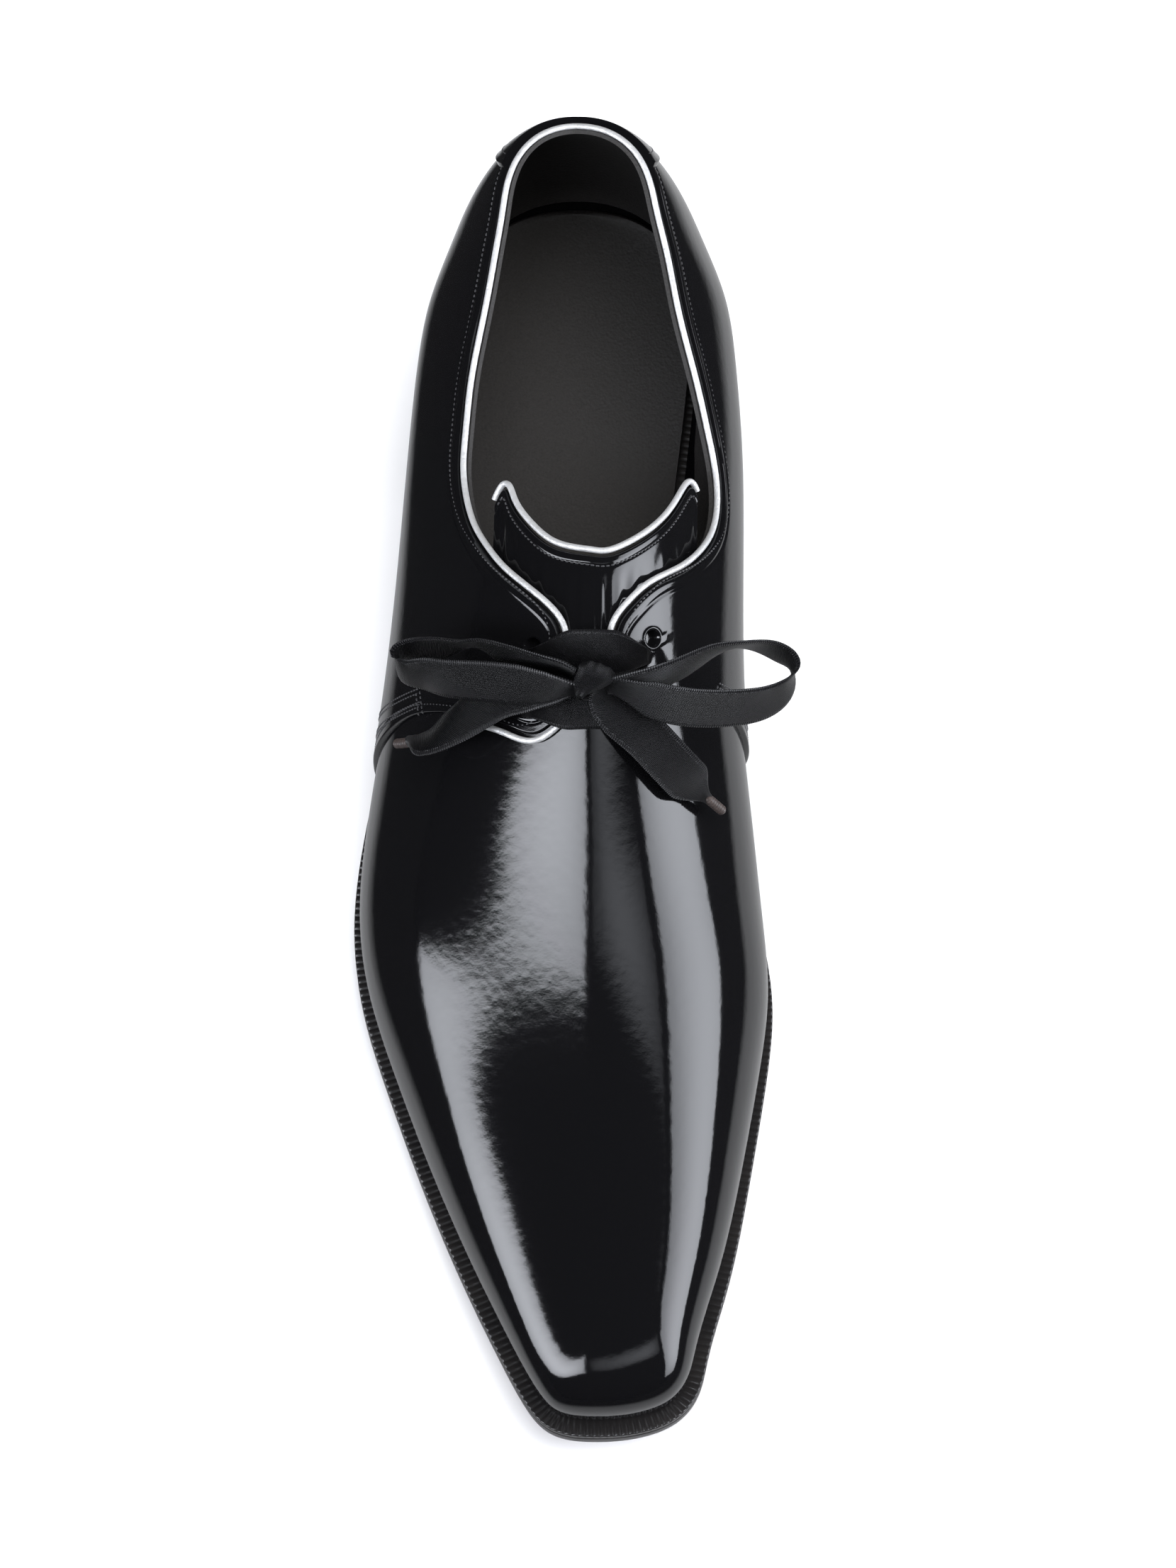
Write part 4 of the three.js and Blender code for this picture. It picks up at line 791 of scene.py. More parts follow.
# Sock over the insole
# A full sock of thin matt black leather, glued over a soft pad that rises a little to its edges.
INSOLE_THICKNESS = 3.0
VAMP_WALL = 1.5
QUARTER_LINING = 1.9
QUARTER_STEP = 1.2
WAIST_BULGE = 14.6
WIDEST_HEIGHT = 25.0
WIDEST_V = 0.28
WALL = [
    {"along": 0, "margin": (0.47, 0.47), "bulge": (0.29, 0.29),
     "rise": (0.64, 0.64), "shoulder": (0.64, 0.64), "crest": (0.6, 0.6)},
    {"along": 0.023, "margin": (0.47, 0.47), "bulge": (0.12, 0.14),
     "rise": (0.64, 0.64), "shoulder": (0.5, 0.5), "crest": (0.52, 0.52)},
    {"along": 0.062, "margin": (0.41, 0.41), "bulge": (0.06, 0.1),
     "rise": (0.64, 0.64), "shoulder": (0.34, 0.34), "crest": (0.4, 0.4)},
    {"along": 0.11, "margin": (0.41, 0.41), "bulge": (0.25, 0.32),
     "rise": (0.64, 0.68), "shoulder": (0.25, 0.26), "crest": (0.3, 0.3)},
    {"along": 0.169, "margin": (0.38, 0.38), "bulge": (0.41, 0.55),
     "rise": (0.64, 0.76), "shoulder": (0.25, 0.28), "crest": (0.28, 0.28)},
    {"along": 0.247, "margin": (0.35, 0.35), "bulge": (0.47, 0.84),
     "rise": (0.64, 0.88), "shoulder": (0.29, 0.36), "crest": (0.3, 0.34)},
    {"along": 0.341, "margin": (0.35, 0.35), "bulge": (0.32, 1),
     "rise": (0.64, 1), "shoulder": (0.35, 0.42), "crest": (0.36, 0.42)},
    {"along": 0.438, "margin": (0.53, 0.53), "bulge": (0.12, 0.79),
     "rise": (0.6, 0.92), "shoulder": (0.4, 0.44), "crest": (0.4, 0.42)},
    {"along": 0.52, "margin": (0.76, 0.71), "bulge": (0.08, 0.38),
     "rise": (0.48, 0.76), "shoulder": (0.44, 0.5), "crest": (0.42, 0.42)},
    {"along": 0.6, "margin": (0.94, 0.82), "bulge": (0.1, 0.15),
     "rise": (0.4, 0.52), "shoulder": (0.5, 0.54), "crest": (0.45, 0.45)},
    {"along": 0.714, "margin": (1, 0.94), "bulge": (0.1, 0.1),
     "rise": (0.36, 0.44), "shoulder": (0.56, 0.6), "crest": (0.52, 0.52)},
    {"along": 0.844, "margin": (1.06, 1), "bulge": (0.08, 0.08),
     "rise": (0.32, 0.36), "shoulder": (0.64, 0.66), "crest": (0.6, 0.6)},
    {"along": 0.9675, "margin": (1.15, 1.15), "bulge": (0.07, 0.07),
     "rise": (0.32, 0.32), "shoulder": (0.7, 0.7), "crest": (0.62, 0.62)},
    {"along": 1, "margin": (1.18, 1.18), "bulge": (0.07, 0.07),
     "rise": (0.32, 0.32), "shoulder": (0.72, 0.72), "crest": (0.62, 0.62)},
]
wall_t = np.interp(table(WALL, "along") * SOLE_LENGTH, edge_along(t_scan), t_scan)
wall_t[-1] = 1.0


def wall_curve(key, size):
    """One column of the wall table, lateral and medial, as a closed curve over t."""
    sides = np.array([row[key] for row in WALL], float) * size
    return around(wall_t, sides[:, 0], sides[:, 1])


margin_at = wall_curve("margin", WELT_MARGIN)


def welt_top(along):
    """Height of the welt's top face."""
    return welt_low(along) + WELT_THICKNESS


def sock_grid(rows=150, cols=41):
    """Sock's face between the two walls: raised by side^4 near its edge, hollowed under the heel."""
    t = (1 - np.cos(np.linspace(0, np.pi, rows))) / 2
    gap = VAMP_WALL + QUARTER_LINING / 2 + CLEARANCE
    x_left, a_left = sole_edge(-t, margin_at(-t) + gap)
    x_right, a_right = sole_edge(t, margin_at(t) + gap)
    share = np.linspace(0, 1, cols)
    x = x_left[:, None] * (1 - share) + x_right[:, None] * share
    along = a_left[:, None] * (1 - share) + a_right[:, None] * share
    side = np.abs(2 * share - 1)
    cup = 1.2 * side**4 - 0.5 * (1 - side**2) * np.exp(-((along - 45) / 45) ** 2)
    rim = np.minimum(1, np.abs(t * (1 - t))[:, None] * 60)
    return row_place(x, along, welt_top(along) + INSOLE_THICKNESS + CLEARANCE + cup * rim)


def leather_grain_group():
    """Fine pebbled leather: rounded cells of three sizes, with softer broad waves."""
    tree, entry, leave = new_group(
        "leather_grain",
        [("Scale", "NodeSocketFloat", 900.0), ("Waves", "NodeSocketFloat", 40.0)],
        [("Height", "NodeSocketFloat"), ("Tone", "NodeSocketFloat"), ("Wave", "NodeSocketFloat")],
    )
    place = tree.nodes.new("ShaderNodeTexCoord")
    cells = node(tree, "ShaderNodeTexVoronoi", {"Randomness": 1.0}, feature="SMOOTH_F1")
    fine = node(tree, "ShaderNodeTexNoise", {"Detail": 6.0, "Roughness": 0.65})
    waves = node(tree, "ShaderNodeTexNoise", {"Detail": 2.0})
    for texture in (cells, fine, waves):
        tree.links.new(place.outputs["Object"], texture.inputs["Vector"])
    tree.links.new(entry.outputs["Scale"], cells.inputs["Scale"])
    tree.links.new(sums(tree, "MULTIPLY", entry.outputs["Scale"], 1.7), fine.inputs["Scale"])
    tree.links.new(entry.outputs["Waves"], waves.inputs["Scale"])
    pebble = sums(tree, "MULTIPLY", cells.outputs["Distance"], 0.7)
    speckle = sums(tree, "MULTIPLY", fine.outputs["Fac"], 0.6)
    tree.links.new(sums(tree, "ADD", pebble, speckle), leave.inputs["Height"])
    tree.links.new(fine.outputs["Fac"], leave.inputs["Tone"])
    tree.links.new(waves.outputs["Fac"], leave.inputs["Wave"])
    return tree


leather_grain = leather_grain_group()
lining_leather = new_material("lining_leather_matt", (0.024, 0.023, 0.023), 0.6)
lining_tree = lining_leather.node_tree
lining_grain = use_group(lining_tree, leather_grain, Scale=1400.0, Waves=70.0)
add_tones(lining_tree, lining_grain.outputs["Tone"], (0.010, 0.0095, 0.0092), (0.036, 0.034, 0.033))
add_relief(lining_leather, lining_grain.outputs["Height"], 0.00018)
sock_face = sock_grid()
sock_under = sock_face.copy()
sock_under[..., 2] = welt_top(ROW_SHIFT[1] - sock_face[..., 1]) + CLEARANCE


def grid_rim(grid, folded):
    """Edge of a grid as one line; with the last row folded on itself, that row is left out."""
    if folded:
        return np.concatenate([grid[:0:-1, 0], grid[0, :-1], grid[:, -1]])
    return np.concatenate([grid[0, :-1], grid[:-1, -1], grid[-1, :0:-1], grid[::-1, 0]])


def closed_shell(upper, lower, folded=False):
    """Two grids, one over the other, with a wall between their edges."""
    rows, cols = upper.shape[:2]
    walls = np.stack([grid_rim(lower, folded), grid_rim(upper, folded)])
    points = np.concatenate([upper.reshape(-1, 3), lower.reshape(-1, 3), walls.reshape(-1, 3)])
    top = sheet_faces(rows, cols)
    bottom = sheet_faces(rows, cols, rows * cols)[:, ::-1]
    rim = sheet_faces(2, walls.shape[1], 2 * rows * cols)
    return points, np.concatenate([top, bottom, rim])


def turned_out(points, faces):
    """The faces, all turned over when the signed volume they enclose is below zero."""
    corner = points[faces] - points.mean(0)
    volume = np.einsum("ij,ij->i", corner[:, 0], np.cross(corner[:, 1], corner[:, 2])).sum()
    volume += np.einsum("ij,ij->i", corner[:, 0], np.cross(corner[:, 2], corner[:, 3])).sum()
    return faces[:, ::-1] if volume < 0 else faces


sock_points, sock_faces = closed_shell(sock_face, sock_under)
sock = make_piece("sock", sock_points, turned_out(sock_points, sock_faces), [lining_leather])
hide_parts("insole")

# Vamp
# The front of the upper: one piece of patent leather, black hide under a clear gloss coat,
# drawn tight over the last and sewn to the welt.
THROAT_HEIGHT = 90.0
THROAT_T = 0.474
PIPING_RAMP = 0.007
VAMP_UNDERLAP = 0.03
SPINE_FROM = 0.11
SPINE_TO = 0.919
SPINE_BLEND = 0.045
RIDGE = [
    {"along": 0.065, "across": 0.036, "up": 1.245},
    {"along": 0.11, "across": 0.036, "up": 1.228},
    {"along": 0.195, "across": 0.041, "up": 1.167},
    {"along": 0.292, "across": 0.061, "up": 1.106},
    {"along": 0.373, "across": 0.069, "up": 1.056},
    {"along": 0.438, "across": 0.071, "up": 0.985},
    {"along": 0.503, "across": 0.073, "up": 0.895},
    {"along": 0.584, "across": 0.085, "up": 0.776},
    {"along": 0.666, "across": 0.095, "up": 0.669},
    {"along": 0.747, "across": 0.103, "up": 0.584},
    {"along": 0.828, "across": 0.111, "up": 0.518},
    {"along": 0.883, "across": 0.115, "up": 0.48},
    {"along": 0.922, "across": 0.113, "up": 0.454},
    {"along": 0.974, "across": 0.109, "up": 0.411},
]
bulge_at = wall_curve("bulge", WAIST_BULGE)
rise_at = wall_curve("rise", WIDEST_HEIGHT)
shoulder_at = wall_curve("shoulder", 1.0)
crest_at = wall_curve("crest", 1.0)
ridge_along = table(RIDGE, "along") * SOLE_LENGTH
ridge_across = smooth_curve(ridge_along, table(RIDGE, "across") * BALL_WIDTH)
ridge_up = smooth_curve(ridge_along, table(RIDGE, "up") * THROAT_HEIGHT)


def bezier(a, b, c, d, q):
    """a(1-q)^3 + 3b(1-q)^2 q + 3c(1-q)q^2 + d q^3."""
    p = 1 - q
    return a * p**3 + 3 * b * p * p * q + 3 * c * p * q * q + d * q**3


def last_point(t, v):
    """Last's surface: columns from the spine to the feather, two Beziers that meet at the widest point."""
    t, v = np.broadcast_arrays(np.asarray(t, float), np.asarray(v, float))
    foot_x, foot_a = sole_edge(t, margin_at(t))
    feather = welt_top(foot_a) + CLEARANCE
    blend = SPINE_BLEND * SOLE_LENGTH
    forward = edge_along(t)
    back = SPINE_FROM * SOLE_LENGTH
    front = SPINE_TO * SOLE_LENGTH
    spine = (forward + back + np.hypot(forward - back, blend)) / 2
    spine = (spine + front - np.hypot(spine - front, blend)) / 2
    top_x = ridge_across(spine)
    top_z = ridge_up(spine)
    slope = (ridge_up(spine + 0.01) - ridge_up(spine - 0.01)) / 0.02
    out_x = foot_x - top_x
    out_a = foot_a - spine
    reach = np.hypot(out_x, out_a)
    out_x = out_x / reach
    out_a = out_a / reach
    rise = rise_at(t)
    widest = reach + bulge_at(t)
    widest_z = feather + rise
    lift = shoulder_at(t) * (top_z - widest_z)
    crest = crest_at(t) * widest
    fall = 0.45 * rise
    curl = (widest - crest) / lift**2 * fall**2
    start = np.maximum(widest - curl, reach + 0.3 * bulge_at(t))
    low = np.clip(v / WIDEST_V, 0, 1)
    high = np.clip((v - WIDEST_V) / (1 - WIDEST_V), 0, 1)
    under = v < WIDEST_V
    r = np.where(under, bezier(reach, start, widest, widest, low), bezier(widest, widest, crest, 0, high))
    z_low = bezier(feather, widest_z - 0.72 * rise, widest_z - fall, widest_z, low)
    z_high = bezier(widest_z, widest_z + lift, top_z + slope * crest * out_a, top_z, high)
    return row_place(top_x + out_x * r, spine + out_a * r, np.where(under, z_low, z_high))


def last_normal(t, v):
    """Outward normal: the cross product of the surface's slopes over v and over t."""
    v = np.clip(v, 2e-3, 1 - 2e-3)
    over_v = last_point(t, v + 1e-3) - last_point(t, v - 1e-3)
    over_t = last_point(t + 5e-4, v) - last_point(t - 5e-4, v)
    return unit(np.cross(over_v, over_t))


def smooth_step(value, low, high):
    """0 below low, 1 above high, and 3q^2 - 2q^3 between."""
    q = np.clip((value - low) / (high - low), 0, 1)
    return q * q * (3 - 2 * q)


def vamp_places(rows=130, cols=90):
    """Places (t, v) over the vamp: columns from the throat round the toe, up one side and down the other."""
    share = np.linspace(0, 1, rows)[:, None]
    v = np.linspace(0, 1, cols)
    v = np.concatenate([v, v[-2::-1]])[None]
    side = np.concatenate([-np.ones(cols), np.ones(cols - 1)])[None]
    under = VAMP_UNDERLAP * smooth_step(0.9 - v, 0, 0.12)
    back = THROAT_T + PIPING_RAMP / 4 - under
    return side * (back + (1 - back) * share), v + 0 * share


vamp_t, vamp_v = vamp_places()
vamp_out = last_point(vamp_t, vamp_v)
vamp_in = vamp_out - last_normal(vamp_t, vamp_v) * VAMP_WALL
patent = new_material("patent_leather", (0.0035, 0.0035, 0.004), 0.06)
patent_tree = patent.node_tree
patent_grain = use_group(patent_tree, leather_grain, Scale=420.0, Waves=26.0)
patent_relief = sums(
    patent_tree, "ADD",
    sums(patent_tree, "MULTIPLY", patent_grain.outputs["Height"], 0.06),
    sums(patent_tree, "MULTIPLY", patent_grain.outputs["Wave"], 0.3),
)
add_relief(patent, patent_relief, 0.0003)
vamp_points, vamp_faces = closed_shell(vamp_out, vamp_in, folded=True)
vamp = make_piece("vamp", vamp_points, turned_out(vamp_points, vamp_faces), [patent], sharp=50.0)
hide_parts("upper")

# Quarters
# Two patent pieces that wrap the heel, open over the tongue in two facings and lap over the vamp.
# Their edges are folded over the piping, and a row of stitches holds it all 2.6 mm in.
PIPING_WIDTH = 2.2
FACET_ROOM = 0.3
FOLD_RADIUS = 0.9
SEAM_IN = 2.6
SEAM_DEPTH = 0.22
EYELET_WIDTH = 3.6
EYELET_DEPTH = 2.6
COLLAR = [
    {"s": 0, "lateral": 0.572, "medial": 0.572},
    {"s": 0.121, "lateral": 0.645, "medial": 0.625},
    {"s": 0.188, "lateral": 0.66, "medial": 0.642},
    {"s": 0.317, "lateral": 0.662, "medial": 0.633},
    {"s": 0.404, "lateral": 0.641, "medial": 0.607},
    {"s": 0.485, "lateral": 0.612, "medial": 0.567},
    {"s": 0.56, "lateral": 0.602, "medial": 0.532},
    {"s": 0.606, "lateral": 0.602, "medial": 0.508},
    {"s": 0.667, "lateral": 0.627, "medial": 0.505},
    {"s": 0.711, "lateral": 0.662, "medial": 0.542},
    {"s": 0.749, "lateral": 0.707, "medial": 0.608},
    {"s": 0.786, "lateral": 0.76, "medial": 0.703},
    {"s": 0.816, "lateral": 0.815, "medial": 0.802},
    {"s": 0.844, "lateral": 0.87, "medial": 0.87},
    {"s": 0.87, "lateral": 0.912, "medial": 0.92},
    {"s": 0.9, "lateral": 0.93, "medial": 0.942},
    {"s": 0.95, "lateral": 0.93, "medial": 0.944},
    {"s": 1, "lateral": 0.928, "medial": 0.942},
]
QUARTER_FRONT = [
    {"w": 0, "t": 0.48},
    {"w": 0.15, "t": 0.478},
    {"w": 0.3, "t": 0.474},
    {"w": 0.45, "t": 0.468},
    {"w": 0.6, "t": 0.468},
    {"w": 0.7, "t": 0.476},
    {"w": 0.8, "t": 0.487},
    {"w": 0.88, "t": 0.498},
    {"w": 0.95, "t": 0.505},
    {"w": 1, "t": 0.497},
]
PIPED_FRONT_W = 0.72
PIPED_MEDIAL_W = 0.9
EYELETS = [
    {"t": -0.443, "v": 0.85},
    {"t": -0.473, "v": 0.85},
    {"t": 0.436, "v": 0.8},
    {"t": 0.47, "v": 0.81},
]
EDGE_ROOM = PIPING_WIDTH / 2 + CLEARANCE
collar_lateral = smooth_curve(table(COLLAR, "s"), table(COLLAR, "lateral"))
collar_medial = smooth_curve(table(COLLAR, "s"), table(COLLAR, "medial"))
front_t = smooth_curve(table(QUARTER_FRONT, "w"), table(QUARTER_FRONT, "t"))


def collar_v(s):
    """Height of the collar line on the last at s, lateral below zero and medial above."""
    return np.where(s < 0, collar_lateral(-s), collar_medial(s))


def column_share(t, v, length):
    """Share of a column that a length in mm takes at (t, v)."""
    return 0.05 * length / np.linalg.norm(last_point(t, v) - last_point(t, v - 0.05), axis=-1)


def girth_share(t, v, length):
    """Share of the half girth that a length in mm takes at (t, v)."""
    step = np.sign(t) * 0.02
    return 0.02 * length / np.linalg.norm(last_point(t, v) - last_point(t - step, v), axis=-1)


def quarter_place(s, w, room):
    """(t, v) on the quarters: s from the lateral front edge to the medial one, w from feather to collar."""
    side = np.where(s < 0, -1.0, 1.0)
    full = front_t(w)
    t = s * (full - girth_share(side * full, w * collar_v(side), room))
    top = collar_v(s) - column_share(t, collar_v(s), room)
    return t, w * top


def marks(count, fine, share):
    """Numbers from 0 to 1 that crowd near 1: a share of them lies in the last fine part."""
    dense = int(count * share)
    return np.concatenate([np.linspace(0, 1 - fine, count - dense), np.linspace(1 - fine, 1, dense + 1)[1:]])


def edge_profile(distance):
    """Height of the folded edge: a quarter round from the edge, then level, with a stitched groove."""
    q = np.clip(distance / FOLD_RADIUS, 0, 1)
    fold = QUARTER_STEP * np.sqrt(np.clip(1 - (1 - q) ** 2, 0, 1))
    plump = 0.25 * np.exp(-(((distance - 1.2) / 0.8) ** 2))
    return fold + plump - SEAM_DEPTH * np.exp(-(((distance - SEAM_IN) / 0.42) ** 2))


def quarter_surface():
    """Quarter's face: last plus the edge profile of the nearer edge, sunk round each eyelet."""
    half = marks(330, 0.16, 0.45)
    s = np.concatenate([-half[::-1], half[1:]])[:, None]
    w = marks(74, 0.16, 0.55)[None]
    t, v = quarter_place(s, w, EDGE_ROOM)
    base = last_point(t, v)
    normal = last_normal(t, v)
    up_step = np.linalg.norm(np.diff(base, axis=1), axis=-1)
    from_top = np.concatenate([np.cumsum(up_step[:, ::-1], 1)[:, ::-1], np.zeros((len(base), 1))], 1)
    run_step = np.linalg.norm(np.diff(base, axis=0), axis=-1)
    run = np.concatenate([np.zeros((1, base.shape[1])), np.cumsum(run_step, 0)])
    from_front = np.minimum(run, run[-1] - run)
    rise = np.minimum(edge_profile(from_top), edge_profile(from_front))
    for eyelet in EYELETS:
        centre = last_point(eyelet["t"], eyelet["v"])
        away = np.linalg.norm(base - centre, axis=-1)
        hole = 1 - smooth_step(away, EYELET_WIDTH * 0.36, EYELET_WIDTH * 0.55)
        rim = 0.22 * np.exp(-(((away - EYELET_WIDTH * 0.68) / 0.35) ** 2))
        rise = rise - EYELET_DEPTH * hole + rim
    return base + normal * rise[..., None], base - normal * 0.9


quarter_out, quarter_in = quarter_surface()
quarter_points, quarter_faces = closed_shell(quarter_out, quarter_in)
quarters = make_piece(
    "quarters", quarter_points, turned_out(quarter_points, quarter_faces), [patent], sharp=60.0
)
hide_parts("upper")

# Back strip
# A narrow patent strip closes the seam at the heel, stitched down both sides.
TAB_STEP = 0.9


def back_strip():
    """Strip either side of t = 0 that widens upwards; its edges fall off in a quarter round."""
    t_half = np.linspace(-1, 1, 61)[:, None]
    share = np.linspace(0.02, 1.0, 120)[None]
    wide = 0.024 + 0.05 * smooth_step(share, 0.4, 1.0)
    t = t_half * wide
    v = share * (collar_v(t / front_t(1.0)) - column_share(t, collar_v(t / front_t(1.0)), EDGE_ROOM))
    base = last_point(t, v)
    normal = last_normal(t, v)
    run_step = np.linalg.norm(np.diff(base, axis=0), axis=-1)
    run = np.concatenate([np.zeros((1, base.shape[1])), np.cumsum(run_step, 0)])
    side = np.minimum(run, run[-1] - run)
    q = np.clip(side / 0.7, 0, 1)
    top = np.clip((1 - share) * 90 / 0.9, 0, 1)
    fold = TAB_STEP * np.sqrt(1 - (1 - q) ** 2)
    rise = (QUARTER_STEP + fold) * np.sqrt(1 - (1 - top) ** 2)
    rise = rise - 0.15 * np.exp(-(((side - 1.8) / 0.4) ** 2))
    return base + normal * rise[..., None], base + normal * 0.3


strip_out, strip_in = back_strip()
strip_points, strip_faces = closed_shell(strip_out, strip_in)
heel_strip = make_piece("back_strip", strip_points, turned_out(strip_points, strip_faces), [patent])
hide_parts("upper")

# Lining
# Thin black leather glued inside the quarters, its raw edge trimmed just above the piping.
LINING_RISE = 0.9
LINING_FACE = 1.15
LINING_BACK = 2.1


def lining_sheet():
    """Sheet inside the quarters, from the sock up to a rounded edge a little past the collar line."""
    s = np.linspace(-1, 1, 420)[:, None] * 0.985
    w = marks(60, 0.08, 0.4)[None]
    t = quarter_place(s, 0.0, 0.0)[0]
    top = collar_v(s) + column_share(t, collar_v(s), LINING_RISE)
    t = s * front_t(1.0) + 0 * w
    v = 0.06 + (top - 0.06) * w
    base = last_point(t, v)
    normal = last_normal(t, v)
    return base - normal * LINING_FACE, base - normal * LINING_BACK


lining_out, lining_in = lining_sheet()
lining_points, lining_faces = closed_shell(lining_out, lining_in)
lining = make_piece(
    "quarter_lining", lining_points, turned_out(lining_points, lining_faces), [lining_leather], sharp=60.0
)
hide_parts("upper")

# Tongue
# Patent leather over a matt lining; its top edge dips between two ears and is piped as the collar is.
TONGUE_CLEARANCE = 0.6
TONGUE_THICKNESS = 1.3
TONGUE_FOLD = 0.16
TONGUE_FRONT_T = 0.505
TONGUE_FRONT_NARROWING = 0.1
TONGUE_EDGE = [
    {"across": 0, "t": 0.33, "v": 0.69},
    {"across": 0.06, "t": 0.322, "v": 0.712},
    {"across": 0.12, "t": 0.334, "v": 0.735},
    {"across": 0.2, "t": 0.355, "v": 0.79},
    {"across": 0.32, "t": 0.374, "v": 0.87},
    {"across": 0.5, "t": 0.383, "v": 1},
    {"across": 0.68, "t": 0.378, "v": 0.87},
    {"across": 0.8, "t": 0.358, "v": 0.74},
    {"across": 0.89, "t": 0.332, "v": 0.64},
    {"across": 0.94, "t": 0.316, "v": 0.59},
    {"across": 1, "t": 0.318, "v": 0.56},
]
TONGUE_DEPTH = QUARTER_LINING + TONGUE_CLEARANCE
tongue_t = smooth_curve(table(TONGUE_EDGE, "across"), table(TONGUE_EDGE, "t"))
tongue_high = table(TONGUE_EDGE, "v")
tongue_high = np.where(table(TONGUE_EDGE, "across") > 0.5, 2 - tongue_high, tongue_high)
tongue_v = smooth_curve(table(TONGUE_EDGE, "across"), tongue_high)


def tongue_place(across, up, room):
    """(t, v) on the tongue: across from lateral to medial, up from its hidden front to its top edge."""
    side = np.where(across > 0.5, 1.0, -1.0)
    reach = tongue_t(across)
    high = tongue_v(across)
    v = np.where(across > 0.5, 2 - high, high)
    inset = girth_share(side * reach, v, room)
    t = TONGUE_FRONT_T + (reach + inset - TONGUE_FRONT_T) * up
    wide = 1 - (1 - v) * (1 - TONGUE_FRONT_NARROWING * (1 - up))
    return side * t, wide


def tongue_surface():
    """Tongue's face: rounded at its top edge, sunk at its seam, folded as a sum of three sines."""
    across = np.linspace(0, 1, 181)[:, None]
    up = marks(90, 0.12, 0.5)[None]
    t, v = tongue_place(across, up, EDGE_ROOM)
    base = last_point(t, v)
    normal = last_normal(t, v)
    up_step = np.linalg.norm(np.diff(base, axis=1), axis=-1)
    from_top = np.concatenate([np.cumsum(up_step[:, ::-1], 1)[:, ::-1], np.zeros((len(base), 1))], 1)
    q = np.clip(from_top / 0.7, 0, 1)
    round_off = 0.65 * (np.sqrt(1 - (1 - q) ** 2) - 1)
    groove = 0.18 * np.exp(-(((from_top - 2.3) / 0.42) ** 2))
    folds = 0.5 * np.sin(across * 71) + 0.35 * np.sin(across * 113 + 1.3)
    folds = folds + 0.2 * np.sin(across * 37 + up * 5)
    crease = TONGUE_FOLD * (folds - 1) * smooth_step(from_top, 2.5, 9)
    upper_face = base - normal * (TONGUE_DEPTH - round_off + groove - crease)[..., None]
    return upper_face, base - normal * (TONGUE_DEPTH + TONGUE_THICKNESS)


tongue_out, tongue_in = tongue_surface()
tongue_points, tongue_faces = closed_shell(tongue_out, tongue_in)
tongue_cells = (tongue_out.shape[0] - 1) * (tongue_out.shape[1] - 1)
tongue_finish = np.zeros(len(tongue_faces), int)
tongue_finish[tongue_cells:2 * tongue_cells] = 1
tongue = make_piece(
    "tongue_leather", tongue_points, turned_out(tongue_points, tongue_faces),
    [patent, lining_leather], material_index=tongue_finish, sharp=60.0,
)
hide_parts("tongue")

# Piping
# A cord under silver leather, sewn into the folded edge of the collar, the facings and the tongue.
# It is drawn thinner than in the CAD, as the photo shows it.
PIPING_RADIUS = PIPING_WIDTH / 2 - 0.36
silver = new_material("piping_silver", (0.8, 0.81, 0.82), 0.42, 0.6)
silver_tree = silver.node_tree
silver_grain = use_group(silver_tree, leather_grain, Scale=1500.0, Waves=500.0)
add_tones(silver_tree, silver_grain.outputs["Wave"], (0.6, 0.605, 0.615), (0.88, 0.885, 0.89))
add_relief(silver, silver_grain.outputs["Height"], 0.0002)


def beside_edge(t, v, distance, room, inside):
    """Places on the last raised by a distance and moved sideways off an edge, away from points inside it."""
    points = last_point(t, v) + last_normal(t, v) * distance[:, None]
    run = np.concatenate([points[1:2] - points[:1], points[2:] - points[:-2], points[-1:] - points[-2:-1]])
    out = unit(np.cross(run, last_normal(t, v)))
    turn = np.einsum("ij,ij->i", out, inside - points)
    return points + out * np.where(turn > 0, -1.0, 1.0)[:, None] * room


def read_line(spots, mark, values):
    """Values along a line with marks, read at the spots."""
    return np.stack([np.interp(spots, mark, values[:, k]) for k in range(3)], 1)


def evenly(points, step):
    """The same line with points a step apart."""
    length = np.linalg.norm(np.diff(points, axis=0), axis=1)
    mark = np.concatenate([[0], np.cumsum(length)])
    fine = np.linspace(0, mark[-1], int(mark[-1] / step) + 1)
    return read_line(fine, mark, points)


def round_cord(points, radius, sides=14):
    """Circle carried along a line; each ring stands square to the line."""
    run = unit(np.gradient(points, axis=0))
    side = unit(np.cross(run, np.array([0.02, 0.05, 1.0])))
    lift = np.cross(side, run)
    angle = np.linspace(0, 2 * np.pi, sides + 1)[:-1]
    profile = np.stack([np.cos(angle), np.sin(angle)], 1) * radius
    return carried(points, side, lift, profile)


def piping_piece(name, line):
    """Round cord of silver leather along a line."""
    rings, faces = round_cord(evenly(line, 0.7), PIPING_RADIUS)
    return make_piece(name, rings, turned_out(rings.reshape(-1, 3), faces), [silver])


